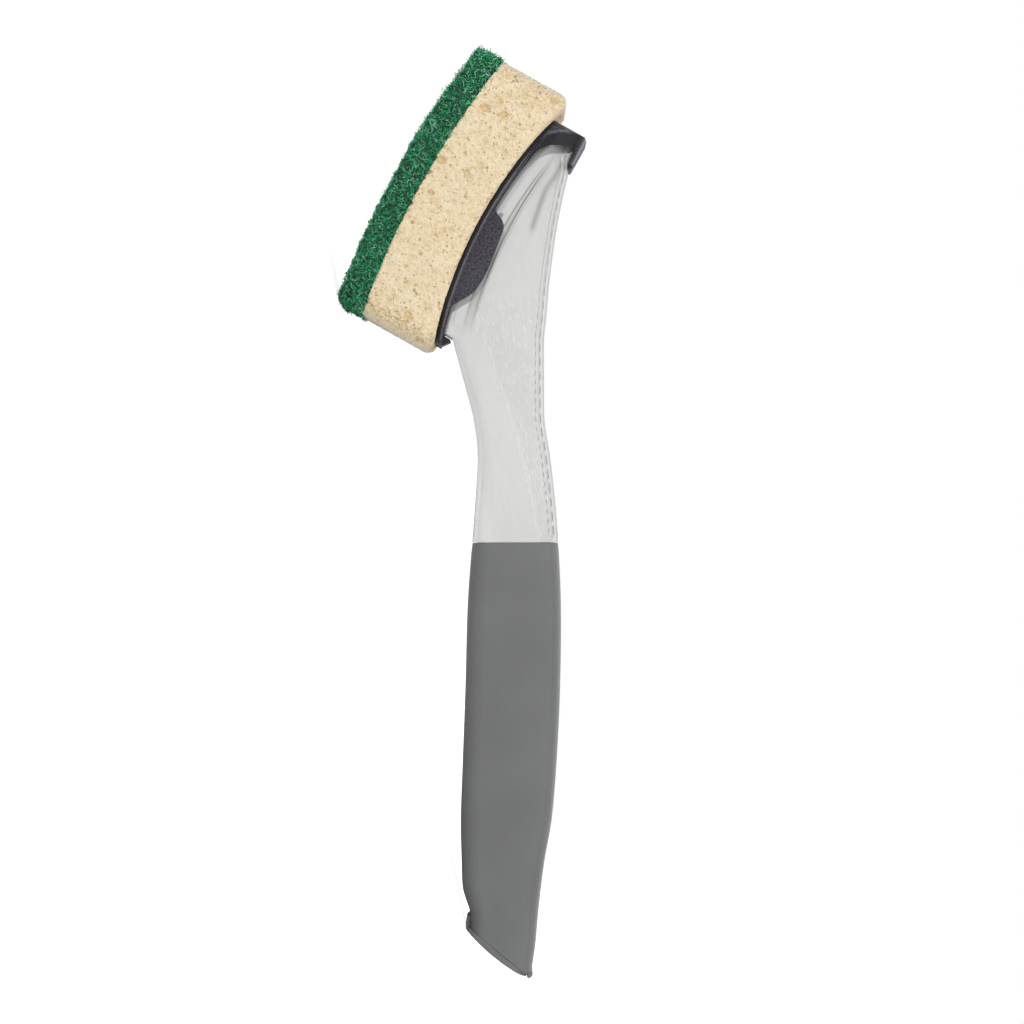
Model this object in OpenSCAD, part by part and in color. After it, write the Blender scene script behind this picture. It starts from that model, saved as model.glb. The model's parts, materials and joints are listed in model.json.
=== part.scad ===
// Dish wand: a liquid-filled handle with a clip-on sponge refill.
// Sizes are millimetres. The wand lies face down, as it does on a worktop:
// on the heel edge of its scouring pad and on the lip of its filler lid.
// The head points to -X, the filler end to +X, and Y = 0 is the plane of symmetry.

/* [Sponge and scouring pad] */
// Length of the refill's sponge
sponge_len = 89; // [80:1:100]
// Width of the refill's sponge
sponge_w = 56; // [50:1:64]
// Height of the sponge's back above the pad's ends, at mid-length
sponge_back_h = 25.9; // [22:0.1:30]
// Thickness of the green scouring layer
pad_t = 8.6; // [5:0.1:11]
// Corner radius of the sponge, seen from its face
sponge_corner_r = 7; // [3:0.5:12]
// Radius of the sponge's edges along its back, toe and heel
sponge_edge_r = 3; // [1:0.5:5]
// Radius that the pad's outer face is bent to
pad_bend_r = 285; // [230:5:400]

/* [Backing plate] */
// Thickness of the backing plate
plate_t = 2; // [1.6:0.1:3]
// Width of the backing plate
plate_w = 42; // [40:0.5:46]
// Radius that the backing plate is bent to, on its sponge side
plate_bend_r = 141; // [125:1:180]
// Corner radius of the plate, seen from above
plate_corner_r = 9; // [5:0.5:12]
// Thickness of the toe wall
toe_wall_t = 2.5; // [2:0.1:3]
// Thickness of the side cheeks of the toe pocket and of the wings
cheek_t = 1.8; // [1.4:0.1:2.2]
// Radius of the hook's nib, which is the pivot of the refill
nib_r = 0.8; // [0.6:0.05:0.9]
// Height of the hook's nib above the pad's ends
nib_h = 42; // [41.5:0.1:42.5]
// Radius of the hole that lets the liquid through the plate
drip_hole_r = 6.5; // [5.8:0.1:9]
// Width of the heel latch's tab
latch_w = 14; // [10:0.5:18]
// Thickness of the heel latch's tab, along the refill
latch_t = 3.3; // [2.6:0.1:4]
// Height of the heel latch's tip above the pad's ends
latch_top_h = 36.1; // [35:0.1:36.3]

/* [Handle] */
// Angle between the handle's line and the pad
head_tilt = 29.2; // [27:0.1:32]
// Length of the handle's sole, from the nose to the heel
sole_len = 71.1; // [69:0.1:73]
// Width of the handle's sole at its widest
sole_w = 34; // [30:0.5:34]
// Width of the handle's nose
nose_w = 27; // [23:0.5:28]
// Width of the handle's back above the sole
back_w = 22; // [18:0.5:24]
// Width of the neck
neck_w = 23; // [21:0.5:25]
// Depth of the neck where it is slimmest
neck_d = 22; // [20.5:0.1:24]
// Width of the grip
grip_w = 25; // [24:0.5:28]
// Depth of the grip where it is deepest
grip_d = 29.6; // [28:0.1:32]
// Width of the grip at the filler mouth
mouth_w = 22.6; // [22:0.1:25]
// Wall of the clear reservoir
wall = 1.5; // [1.2:0.1:1.8]
// Depth of the reservoir's back cover, down to the welded seam
seam_d = 2.8; // [2.5:0.1:3.4]
// Radius of the long edges of the handle's back
back_edge_r = 1.8; // [1:0.1:2]
// Depth of the step above the sole's bead
bead_step = 0.9; // [0.3:0.1:1.1]
// Thickness of the grey grip sleeve
sleeve_t = 1.6; // [1.2:0.1:2]
// Length of the clear neck that shows between the heel and the grip sleeve
clear_neck_len = 65; // [55:1:80]

/* [Drip valve] */
// Radius of the outlet bore in the sole
outlet_r = 3.2; // [2.6:0.1:4]
// Radius of the valve's inner flange
valve_flange_r = 5; // [4.8:0.1:5.6]
// Thickness of the valve's inner flange
valve_flange_t = 1; // [0.8:0.1:1.4]

/* [Filler end] */
// Radius of the filler bore
filler_r = 6.5; // [6:0.1:6.7]
// Distance from the lid's hinge to the centre of the filler bore
filler_offset = 13; // [12.6:0.1:13.4]
// Wall of the filler collar
collar_t = 1.6; // [1.2:0.1:2]
// Depth of the lid's plug
plug_h = 6; // [4:0.1:6.5]
// Wall of the lid's plug
plug_t = 1.1; // [0.9:0.1:1.5]
// Thickness of the lid at its edges
lid_edge_t = 1; // [0.8:0.1:1.4]
// Height of the lid's crown above its edges
lid_crown = 1.1; // [0.6:0.1:1.6]
// Radius of the lid's hinge
hinge_r = 0.7; // [0.5:0.05:0.8]
// Width of the lid's thumb lip
lip_w = 14; // [10:0.5:16]

/* [Fits] */
// Gap between pieces that lie against each other and move apart
seat_gap = 0.3; // [0.2:0.05:0.4]
// Gap round pins, plugs and valves
fit_gap = 0.1; // [0.05:0.01:0.15]

/* [Hidden] */

// The refill's frame: its x axis runs from toe to heel along the chord of the pad's face,
// its z axis points from the pad to the handle, and its origin is the middle of that chord.
// The handle's frame: its origin is the heel of the sole, x runs to the filler end, z to the back.

// Refill, in its own frame
pad_half = sponge_len / 2;
pad_face_h = sqrt(pad_bend_r * pad_bend_r - pad_half * pad_half) - pad_bend_r;
pad_back_h = pad_face_h + pad_t;
pad_back_r = pad_bend_r - pad_t;
plate_under_r = plate_bend_r;
plate_top_h = sponge_back_h + plate_t;
plate_top_r = plate_bend_r - plate_t;
sole_h = plate_top_h + seat_gap;
sole_r = plate_top_r - seat_gap;
// Shift of the sole's middle from the pad's middle
sole_mid = 1.45;
nose_x = sole_mid - sole_len / 2;
heel_x = sole_mid + sole_len / 2;
// Length of the solid nose from its front to the nib's groove
nose_lug = 6.9;
nib_x = nose_x + nose_lug;
// Play in front of the nose
nose_play = 0.6;
// How far a cut runs past what it cuts
over = 4;
pocket_x = nose_x - nose_play;
toe_x = pocket_x - toe_wall_t;
cheek_gap = 0.5;
pocket_half = sole_w / 2 - 1.4;
wing_half = sole_w / 2 + cheek_gap;
heel_play = 0.7;
latch_x = heel_x + heel_play;
plate_heel_x = latch_x + latch_t + 0.2;
latch_foot_r = 0.8;
latch_foot = [latch_x + latch_t - latch_foot_r,
              arc_h(latch_x + latch_t, sponge_back_h, plate_under_r) + 1.2];

// Handle, in its own frame
handle_len = 199.9;
hinge_z = 26.25;
mouth_tilt = 39.4;
mouth_len = 23.2;
mouth_back = 0.8;
lid_seat = 0.2;
lip_reach = 4.4;
lid_x0 = hinge_r + 0.15;
lid_x1 = mouth_back + mouth_len + 0.6;
head_x = -heel_x * cos(head_tilt) - arc_h(heel_x, sole_h, sole_r) * sin(head_tilt);
head_z = heel_x * sin(head_tilt) - arc_h(heel_x, sole_h, sole_r) * cos(head_tilt);
cover_crown = 0.4;
bead_h = 5;
// Swell of the sides between the sole and the seam
side_swell = 3.4;
sleeve_inset = sleeve_t + fit_gap;

// Height of a bent face whose middle is at height mid and whose radius is r
function arc_h(x, mid, r) = mid + r - sqrt(r * r - x * x);

// Points along a bent face from x0 up to x1, on chords of 4 mm from its middle, which faces that meet share
chord = 4;
function chord_h(x, mid, r) = let (a = chord * floor(x / chord), h = arc_h(a, mid, r))
    h + (arc_h(a + chord, mid, r) - h) * (x - a) / chord;
function arc_points(x0, x1, mid, r) =
    let (inner = [for (i = [ceil(x0 / chord + 0.01):floor(x1 / chord - 0.01)]) chord * i])
    [for (x = concat([x0], inner, [x1])) [x, chord_h(x, mid, r)]];

// A point of the refill's frame, in the handle's frame
function head_pt(p) = [head_x + p[0] * cos(head_tilt) + p[1] * sin(head_tilt),
                       head_z - p[0] * sin(head_tilt) + p[1] * cos(head_tilt)];

// A point of the filler mouth, in the handle's frame: a from the hinge to the lip, n out of the mouth
function mouth_pt(a, n) = [handle_len - a * sin(mouth_tilt) + n * cos(mouth_tilt),
                           hinge_z - a * cos(mouth_tilt) - n * sin(mouth_tilt)];

// Rest pose: the pad's heel edge and the lid's lip touch the worktop
lip_pt = mouth_pt(lid_x1, lid_edge_t);
pad_heel_pt = head_pt([pad_half, 0]);
pad_toe_pt = head_pt([-pad_half, 0]);
rest_tilt = atan2(lip_pt[1] - pad_heel_pt[1], lip_pt[0] - pad_heel_pt[0]);
function turned(p) = [p[0] * cos(rest_tilt) + p[1] * sin(rest_tilt),
                      p[1] * cos(rest_tilt) - p[0] * sin(rest_tilt)];
floor_z = turned(pad_heel_pt)[1];
mid_x = (turned(pad_toe_pt)[0] + turned([handle_len, hinge_z])[0] + hinge_r) / 2;

// A point of the handle's frame, in the wand's resting frame
function placed(p) = [turned(p)[0] - mid_x, 0, turned(p)[1] - floor_z];

module place() {
    translate([-mid_x, 0, -floor_z]) rotate([0, rest_tilt, 0]) children();
}

module in_refill() {
    place() translate([head_x, 0, head_z]) rotate([0, head_tilt, 0]) children();
}

module in_mouth() {
    place() translate([handle_len, 0, hinge_z]) rotate([0, 90 + mouth_tilt, 0]) children();
}

// A side profile of x and height points, as a slab of width w
module profile(points, w) {
    rotate([90, 0, 0]) linear_extrude(height = w, center = true) polygon(points);
}

// A rounded rectangle from x0 to x1, w wide, as a prism from z0 to z1
module rounded_prism(x0, x1, w, r, z0, z1) {
    translate([0, 0, z0]) linear_extrude(height = z1 - z0) {
        translate([x0, -w / 2 + r]) square([x1 - x0, w - 2 * r]);
        translate([x0 + r, -w / 2]) square([x1 - x0 - 2 * r, w]);
        for (x = [x0 + r, x1 - r], y = [-w / 2 + r, w / 2 - r]) translate([x, y]) circle(r, $fn = 48);
    }
}

// A round bar across the wand, w long, at a point of a side profile
module cross_bar(x, z, r, w) {
    translate([x, 0, z]) rotate([90, 0, 0]) cylinder(h = w, r = r, center = true, $fn = 48);
}

// Stations of the handle: [front x, front z, back x, back z, half width at the front,
// half width at the back, radius of the front edges, depth of the bead's step]

// Stations of the head, in the refill's frame: [front x, back x, back height over the nib,
// share of the way from the nose's width to the sole's, front edge radius, share of the step]
head_rows = [
    [-30.6, -30.6, -1.7, 0.10, 2.4, 0],
    [-28.3, -28.3, -1.0, 0.22, 2.4, 0.1],
    [-25.5, -25.5, 0.5, 0.34, 2.4, 0.5],
    [-21, -21, 1.8, 0.50, 2.4, 0.9],
    [-17, -17, 3.0, 0.64, 2.4, 1],
    [-8, -8, 6.0, 0.84, 2.4, 1],
    [3, 1, 9.5, 0.97, 2.4, 1],
    [14, 9, 12.8, 1.00, 2.4, 1],
    [25, 16, 16.0, 0.92, 2.4, 0.8],
    [33, 21, 18.1, 0.74, 2.4, 0.4],
];

function head_row(r) =
    let (f = head_pt([r[0], arc_h(r[0], sole_h, sole_r)]), b = head_pt([r[1], nib_h + r[2]]))
    [f[0], f[1], b[0], b[1], (nose_w + (sole_w - nose_w) * r[3]) / 2,
     (nose_w - 9 + (back_w - nose_w + 9) * min(1, 1.3 * r[3])) / 2, r[4], bead_step * r[5]];

// Stations of the rounded nose, in front of the first station of the head
nose_round = 3.5;
nose_lift = 2.4;
nose_slope = 0.1;
function nose_row(a) = let (x = nose_x + nose_round * (1 - cos(a)), e = 1 - sin(a),
                            f = head_pt([x, arc_h(x, sole_h, sole_r) + nose_lift * e]),
                            down = nose_slope * (nose_x + nose_round - x) + 0.3 * e,
                            b = head_pt([x, nib_h - 1.7 - down]))
    [f[0], f[1], b[0], b[1], nose_w / 2 - 3 * e, nose_w / 2 - 4.5 - 2.5 * e, 2.4 - 1.2 * e, 0];

// Stations of the heel, where the sole ends and the handle leaves the refill
heel_back_z = 31.05;
heel_rows = [
    [0, 0, 1.8, heel_back_z, 14.8, 11.4, 2.2, 0],
    [1.5, 2.5, 3.6, heel_back_z, 14.5, 11.5, 2.4, 0],
];

// Upright station of the neck and the grip
function bar_row(x, z, d, w) = [x, z - d / 2, x, z + d / 2, w / 2, w / 2 - 0.2, 5.5, 0];
// Lengths of the slanted filler end and of the dry end behind the reservoir
filler_end_len = 36;
dry_end_len = 40;
grip_end = handle_len - filler_end_len;
// Centre line of the neck and the grip: [x, height]
centre_line = [[18.7, 19.1], [27.7, 20.3], [38.7, 21.7], [57.7, 22.1], [82.7, 21.8], [109.7, 21.3],
               [131.7, 20.4], [150.7, 19.3], [grip_end, 18.3]];
// Depth and width at each place of the centre line
bar_sizes = [[neck_d + 2, neck_w + 0.6], [neck_d, neck_w], [neck_d + 0.7, neck_w],
             [(neck_d + grip_d) / 2, (neck_w + grip_w) / 2], [grip_d - 0.6, grip_w], [grip_d, grip_w],
             [grip_d - 0.2, grip_w], [grip_d - 1.1, grip_w - 0.5], [grip_d - 3.6, grip_w - 1]];
neck_rows = concat([
    [5.4, 3.4, 6.2, heel_back_z, 13.2, 11.6, 3.5, 0],
    [10.7, 4.9, 11.2, heel_back_z, 12.3, 11.6, 4.5, 0],
], [for (i = [0:len(centre_line) - 1])
    bar_row(centre_line[i][0], centre_line[i][1], bar_sizes[i][0], bar_sizes[i][1])]);

// Stations of the filler end, which turn to lie along the slanted mouth
function end_row(fx, fz, bx, bz, w) =
    [handle_len + fx, fz, handle_len + bx, bz, w / 2, w / 2 - 0.2, 5.5, 0];
mouth_f = mouth_pt(mouth_back + mouth_len, -lid_seat);
mouth_b = mouth_pt(mouth_back, -lid_seat);
// Front and back of each station from the handle's end, and how much wider it is than the mouth
end_marks = [[-28.1, 5.6, -27.1, 30.1, 1], [-24.3, 6.5, -18.9, 29.2, 0.6], [-20.4, 7.8, -9.9, 28.4, 0.3],
             [-17.5, 7.9, -3.6, 27.5, 0]];
end_rows = concat([for (m = end_marks) end_row(m[0], m[1], m[2], m[3], mouth_w + m[4])],
    [end_row(mouth_f[0] - handle_len, mouth_f[1], mouth_b[0] - handle_len, mouth_b[1], mouth_w)]);

// Smooth stations between the given ones, n for each stretch
function spline(a, b, c, d, t) = 0.5 * (2 * b + (c - a) * t + (2 * a - 5 * b + 4 * c - d) * t * t
                                        + (3 * b - a - 3 * c + d) * t * t * t);
function smooth(rows, n) = let (last = len(rows) - 1)
    concat([for (i = [0:last - 1]) for (k = [0:n - 1])
               spline(rows[max(i - 1, 0)], rows[i], rows[i + 1], rows[min(i + 2, last)], k / n)],
           [rows[last]]);

handle_rows = concat([for (a = [0:22.5:67.5]) nose_row(a)],
                     smooth([for (r = head_rows) head_row(r)], 2),
                     heel_rows,
                     smooth(concat(neck_rows, end_rows), 2));

// The station at front x, between two of the handle's stations
function row_at(x, i = 0) = handle_rows[i + 1][0] > x
    ? handle_rows[i] + (handle_rows[i + 1] - handle_rows[i])
        * (x - handle_rows[i][0]) / (handle_rows[i + 1][0] - handle_rows[i][0])
    : row_at(x, i + 1);

function depth_of(row) = norm([row[2] - row[0], row[3] - row[1]]);

// A point of a station's section, from its half width y and its height h over the front
function section_pt(row, p) = let (d = depth_of(row))
    [row[0] + (row[2] - row[0]) * p[1] / d, p[0], row[1] + (row[3] - row[1]) * p[1] / d];

// Half of the tub's section, up to the seam, set in by d + t, where d also lowers the seam
function tub_half(row, d, t) =
    let (w = row[4] - d - t, back = row[5] - d - t, seam = depth_of(row) - d - seam_d,
         r = max(row[6] - d - t, 0.8), foot = d + t + r,
         bead = min(0.45, (bead_h - row[6]) / (seam - foot)), step = t > 0 ? 0 : row[7])
    concat([for (a = [0:22.5:90]) [w - r + r * sin(a), foot - r * cos(a)]],
           [for (q = [[bead, 0], [bead + 0.07, 1], [0.3 + bead * 2 / 3, 1], [0.6 + bead / 3, 1], [1, 0]])
               [w + (back - w) * q[0] + side_swell * q[0] * q[0] * (1 - q[0]) - step * q[1],
                foot + (seam - foot) * q[0]]]);

// Half of the back cover's section, from the seam to the middle of the back
function cover_half(row, d, t) =
    let (w = row[5] - d - t, top = depth_of(row) - d - t, r = max(back_edge_r - t, 0.4))
    concat([[w, depth_of(row) - d - seam_d]],
           [for (a = [0:30:90]) [w - r + r * cos(a), top - cover_crown - r + r * sin(a)]],
           [[(w - r) / 2, top - cover_crown / 4], [0, top]]);

function mirrored(half) = [for (p = half) [-p[0], p[1]]];
function reversed(list) = [for (i = [len(list) - 1:-1:0]) list[i]];
function without_last(list) = [for (i = [0:len(list) - 2]) list[i]];

// Open outlines from the left seam to the right seam, and the closed outline of the whole section
function tub_line(row, d, t) = let (h = tub_half(row, d, t)) concat(mirrored(reversed(h)), h);
function cover_line(row, d, t) = let (h = cover_half(row, d, t))
    concat(mirrored(h), reversed(without_last(h)));
function whole_line(row, d) = let (c = cover_line(row, d, 0))
    concat(tub_line(row, d, 0), [for (i = [len(c) - 2:-1:1]) c[i]]);

function quad(a, b, c, d) = [[a, c, b], [a, d, c]];
function joined(lists) = [for (l = lists) for (x = l) x];

// A shell between two sets of open outlines that share their seam: closed at the nose, open at the tail.
// flip turns the faces over, for outlines that run the other way round.
module seam_shell(outer, inner, flip) {
    n = len(outer);
    m = len(outer[0]);
    o = function (i, j) i * m + j;
    k = function (i, j) (n + i) * m + j;
    faces = joined(concat(
        [for (i = [0:n - 2], j = [0:m - 2]) quad(o(i, j), o(i, j + 1), o(i + 1, j + 1), o(i + 1, j))],
        [for (i = [0:n - 2], j = [0:m - 2]) quad(k(i, j), k(i + 1, j), k(i + 1, j + 1), k(i, j + 1))],
        [for (i = [0:n - 2]) quad(o(i, 0), o(i + 1, 0), k(i + 1, 0), k(i, 0))],
        [for (i = [0:n - 2]) quad(o(i, m - 1), k(i, m - 1), k(i + 1, m - 1), o(i + 1, m - 1))],
        [quad(o(0, 0), k(0, 0), k(0, m - 1), o(0, m - 1))],
        [for (j = [0:m - 2]) quad(o(n - 1, j), o(n - 1, j + 1), k(n - 1, j + 1), k(n - 1, j))],
        [[for (j = [1:m - 2]) [o(0, 0), o(0, j), o(0, j + 1)]]],
        [[for (j = [1:m - 2]) [k(0, 0), k(0, j + 1), k(0, j)]]]));
    polyhedron(concat(joined(outer), joined(inner)),
               flip ? [for (f = faces) [f[0], f[2], f[1]]] : faces);
}

// A tube between two sets of closed outlines, open at both ends
module open_tube(outer, inner) {
    n = len(outer);
    m = len(outer[0]);
    o = function (i, j) i * m + j % m;
    k = function (i, j) (n + i) * m + j % m;
    polyhedron(concat(joined(outer), joined(inner)), joined(concat(
        [for (i = [0:n - 2], j = [0:m - 1]) quad(o(i, j), o(i, j + 1), o(i + 1, j + 1), o(i + 1, j))],
        [for (i = [0:n - 2], j = [0:m - 1]) quad(k(i, j), k(i + 1, j), k(i + 1, j + 1), k(i, j + 1))],
        [for (j = [0:m - 1]) quad(o(0, j), k(0, j), k(0, j + 1), o(0, j + 1))],
        [for (j = [0:m - 1]) quad(o(n - 1, j), o(n - 1, j + 1), k(n - 1, j + 1), k(n - 1, j))])));
}

// A cup between two sets of closed outlines: open at its first outline, closed at its last
module cup(outer, inner) {
    n = len(outer);
    q = len(inner);
    m = len(outer[0]);
    o = function (i, j) i * m + j % m;
    k = function (i, j) (n + i) * m + j % m;
    polyhedron(concat(joined(outer), joined(inner)), joined(concat(
        [for (i = [0:n - 2], j = [0:m - 1]) quad(o(i, j), o(i, j + 1), o(i + 1, j + 1), o(i + 1, j))],
        [for (i = [0:q - 2], j = [0:m - 1]) quad(k(i, j), k(i + 1, j), k(i + 1, j + 1), k(i, j + 1))],
        [for (j = [0:m - 1]) quad(o(0, j), k(0, j), k(0, j + 1), o(0, j + 1))],
        [[for (j = [1:m - 2]) [o(n - 1, 0), o(n - 1, j + 1), o(n - 1, j)]]],
        [[for (j = [1:m - 2]) [k(q - 1, 0), k(q - 1, j), k(q - 1, j + 1)]]])));
}

function ring(row, line) = [for (p = line) section_pt(row, p)];

// The reservoir's stations, each with its inset under the grip sleeve
vessel_end = handle_len - dry_end_len;
vessel = concat([for (r = handle_rows) if (r[0] < clear_neck_len - 1) [r, 0]],
                [[row_at(clear_neck_len - 0.5), 0], [row_at(clear_neck_len), sleeve_inset]],
                [for (r = handle_rows)
                    if (r[0] > clear_neck_len + 1 && r[0] < vessel_end - 1) [r, sleeve_inset]],
                [[row_at(vessel_end), sleeve_inset]]);
// Last station of the solid nose, from which the reservoir is hollow
nose_end = 8;
function hollow_station(i) = i > nose_end ? vessel[i][0]
    : vessel[nose_end][0] + (vessel[nose_end + 1][0] - vessel[nose_end][0]) * i / (nose_end + 1);

function vessel_lines(is_tub, t) = [for (i = [0:len(vessel) - 1])
    let (row = t > 0 ? hollow_station(i) : vessel[i][0], d = vessel[i][1])
    ring(row, is_tub ? tub_line(row, d, t) : cover_line(row, d, t))];

// Scouring layer: a bent slab of even thickness
module scour_pad() {
    color("darkgreen") in_refill() intersection() {
        profile(concat(arc_points(-pad_half, pad_half, pad_face_h, pad_bend_r),
                       reversed(arc_points(-pad_half, pad_half, pad_back_h, pad_back_r))), sponge_w);
        rounded_prism(-pad_half, pad_half, sponge_w, sponge_corner_r, pad_face_h - 1, 2 * pad_t);
    }
}

// Sponge: glued to the scouring layer, with its back pressed hollow by the bent plate
module sponge() {
    r = sponge_edge_r;
    end = pad_half - r;
    corner_h = arc_h(end, sponge_back_h, plate_under_r) - r;
    color("bisque") in_refill() intersection() {
        profile(concat(arc_points(-pad_half, pad_half, pad_back_h, pad_back_r),
                       [for (a = [0:22.5:67.5]) [end + r * cos(a), corner_h + r * sin(a)]],
                       reversed(arc_points(-end, end, sponge_back_h, plate_under_r)),
                       [for (a = [112.5:22.5:180]) [r * cos(a) - end, corner_h + r * sin(a)]]), sponge_w);
        rounded_prism(-pad_half, pad_half, sponge_w, sponge_corner_r, 0, sponge_back_h + 20);
    }
}

// Outline of the toe pocket seen from the toe: half widths and heights, set in by t
function pocket_line(t) = let (w = pocket_half + cheek_t - t)
    [[w + 1, plate_top_h - 2], [w + 1, nib_h - 11.6], [w, nib_h - 8], [w - 3, nib_h - 4.6],
     [nose_w / 2 - 1.2 - t / 2, nib_h - 2.2], [nose_w / 2 - 1.8 - t / 2, nib_h + nib_r]];

// A prism along the refill through a symmetric outline of half widths and heights
module along_refill(half, x0, x1) {
    translate([x0, 0, 0]) rotate([90, 0, 90]) linear_extrude(height = x1 - x0)
        polygon(concat(half, mirrored(reversed(half))));
}

// Toe pocket: wall and cheeks that hold the handle's nose, and the hook over it
module toe_pocket() {
    hook_top = nib_h + nib_r;
    hook_root_h = nib_h - 1.9;
    difference() {
        intersection() {
            profile(concat([[toe_x, sponge_back_h], [toe_x, hook_top - 1], [toe_x + 1, hook_top],
                            [nib_x, hook_top], [nib_x, nib_h - nib_r], [pocket_x + 0.5, hook_root_h]],
                           [for (p = [[2.2, -2.8], [3.4, -5.6], [5.2, -8.6], [8.2, -10.8], [13, -12.4]])
                               [pocket_x + p[0], nib_h + p[1]]],
                           [[pocket_x + 16, sponge_back_h]]), plate_w);
            along_refill(pocket_line(0), toe_x, nib_x + 20);
            rounded_prism(toe_x, plate_heel_x, plate_w, plate_corner_r, sponge_back_h, hook_top + 1);
            profile(concat(arc_points(toe_x, nib_x + 16, sponge_back_h, plate_under_r),
                           [[nib_x + 10, nib_h - 6], [nib_x, hook_top], [toe_x, hook_top]]), plate_w);
        }
        intersection() {
            along_refill(pocket_line(cheek_t), pocket_x, nib_x + 20);
            profile(concat(arc_points(pocket_x, nib_x + 24, plate_top_h, plate_top_r),
                           [[nib_x + 24, nib_h + over], [nib_x + 1, nib_h + over], [nib_x, nib_h - 0.3],
                            [pocket_x, hook_root_h]]), plate_w);
        }
    }
    cross_bar(nib_x, nib_h, nib_r, nose_w - 3.8);
}

// The bent plate itself
module base_plate() {
    intersection() {
        profile(concat(arc_points(toe_x, plate_heel_x, sponge_back_h, plate_under_r),
                       reversed(arc_points(toe_x, plate_heel_x, plate_top_h, plate_top_r))), plate_w);
        rounded_prism(toe_x, plate_heel_x, plate_w, plate_corner_r, sponge_back_h - 1, nib_h);
    }
}

// Edge of a wing: [x, height over the plate's middle]
wing_marks = [[-4.8, -0.4], [-3.2, 1.6], [-1.9, 4.1], [-0.2, 5.7], [4.8, 6.6], [10.8, 7.5],
              [16.7, 7.9], [22, 7.2], [26.4, 4.8], [30.6, 2.4]];
wing_line = smooth(wing_marks, 3);

// Backing plate: bent plate, toe pocket, and a wing each side of the heel
module backing_plate() {
    wing_foot = arc_points(wing_line[0][0], wing_line[len(wing_line) - 1][0], sponge_back_h + plate_t / 2,
                           plate_under_r - plate_t / 2);
    color("#45424d") in_refill() difference() {
        union() {
            base_plate();
            toe_pocket();
            for (s = [-1, 1]) translate([0, s * (wing_half + cheek_t / 2), 0])
                profile(concat([for (p = wing_line) [p[0], plate_top_h + p[1]]],
                               reversed(wing_foot)), cheek_t);
        }
        cylinder(h = nib_h, r = drip_hole_r, $fn = 48);
        translate([latch_x - seat_gap, -latch_w / 2 - 0.4, 0])
            cube([latch_t + over, latch_w + 0.8, nib_h]);
    }
}

// Heel latch: the tab behind the handle's heel, which is pulled back to let go
module heel_latch() {
    foot_h = latch_foot[1] - latch_foot_r;
    color("#45424d") in_refill() {
        profile([[latch_x, foot_h], [latch_x, latch_top_h - 0.5], [latch_x + 0.5, latch_top_h],
                 [latch_x + latch_t, latch_top_h - 2.1], [latch_x + latch_t, latch_foot[1]],
                 [latch_foot[0], foot_h]], latch_w);
        cross_bar(latch_foot[0], latch_foot[1], latch_foot_r, latch_w);
    }
}

// Deep clear half of the reservoir, from the nose to the filler end
module reservoir_tub() {
    color("gainsboro", 0.5) difference() {
        place() seam_shell(vessel_lines(true, 0), vessel_lines(true, wall), false);
        in_refill() translate([0, 0, sole_h - over]) cylinder(h = wall + 2 * over, r = outlet_r, $fn = 48);
    }
}

// Shallow clear back of the reservoir, welded to the tub along its seam
module reservoir_cover() {
    color("gainsboro", 0.5) difference() {
        place() seam_shell(vessel_lines(false, 0), vessel_lines(false, wall), true);
        in_refill() cross_bar(nib_x, nib_h, nib_r + fit_gap, nose_w + over);
    }
}

// Drip valve: a soft slit valve pressed into the outlet from the inside
module drip_valve() {
    stem_r = outlet_r - fit_gap;
    tip_h = 2;
    floor_h = sole_h + wall + 0.15;
    color("dimgray") in_refill() difference() {
        union() {
            translate([0, 0, floor_h]) cylinder(h = valve_flange_t, r = valve_flange_r, $fn = 48);
            translate([0, 0, sole_h]) cylinder(h = wall + 0.2, r = stem_r, $fn = 48);
            translate([0, 0, sole_h - tip_h]) cylinder(h = tip_h, r1 = stem_r - 1, r2 = stem_r, $fn = 48);
        }
        translate([0, 0, sole_h - tip_h + 0.8]) cylinder(h = 8, r = stem_r - 1.2, $fn = 48);
        translate([-1.4, -0.15, sole_h - tip_h - 1]) cube([2.8, 0.3, 2.5]);
    }
}

sleeve_rows = concat([row_at(clear_neck_len + 0.2)],
                     [for (r = handle_rows) if (r[0] > clear_neck_len + 2) r]);

// Grey grip sleeve, flush with the clear neck, with a scoop for the lid's lip
module grip_sleeve() {
    notch = mouth_pt(mouth_back + mouth_len, 0);
    color("gray") place() difference() {
        open_tube([for (r = sleeve_rows) ring(r, whole_line(r, 0))],
                  [for (r = sleeve_rows) ring(r, whole_line(r, sleeve_t))]);
        translate([notch[0] - lip_reach, -lip_w / 2 - 0.5, notch[1] - over])
            cube([2 * lip_reach, lip_w + 1, over + sleeve_t + seat_gap]);
    }
}

// Filler collar: the sleeve's hollow end plug, with the filler bore in its slanted face
module filler_collar() {
    rows = [for (r = handle_rows) if (r[0] > vessel_end + 0.5) r];
    inset = sleeve_inset + collar_t;
    color("gray") difference() {
        place() cup([for (r = rows) ring(r, whole_line(r, sleeve_inset))],
                    [for (i = [0:len(rows) - 3]) ring(rows[i], whole_line(rows[i], inset))]);
        in_mouth() translate([filler_offset, 0, -collar_t - 3])
            cylinder(h = collar_t + 3 + over, r = filler_r, $fn = 64);
    }
}

// Film hinge of the lid, as a bead round the axis that the lid turns about
module lid_hinge() {
    color("gray") in_mouth() cross_bar(0, 0, hinge_r, mouth_w - 5);
}

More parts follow.
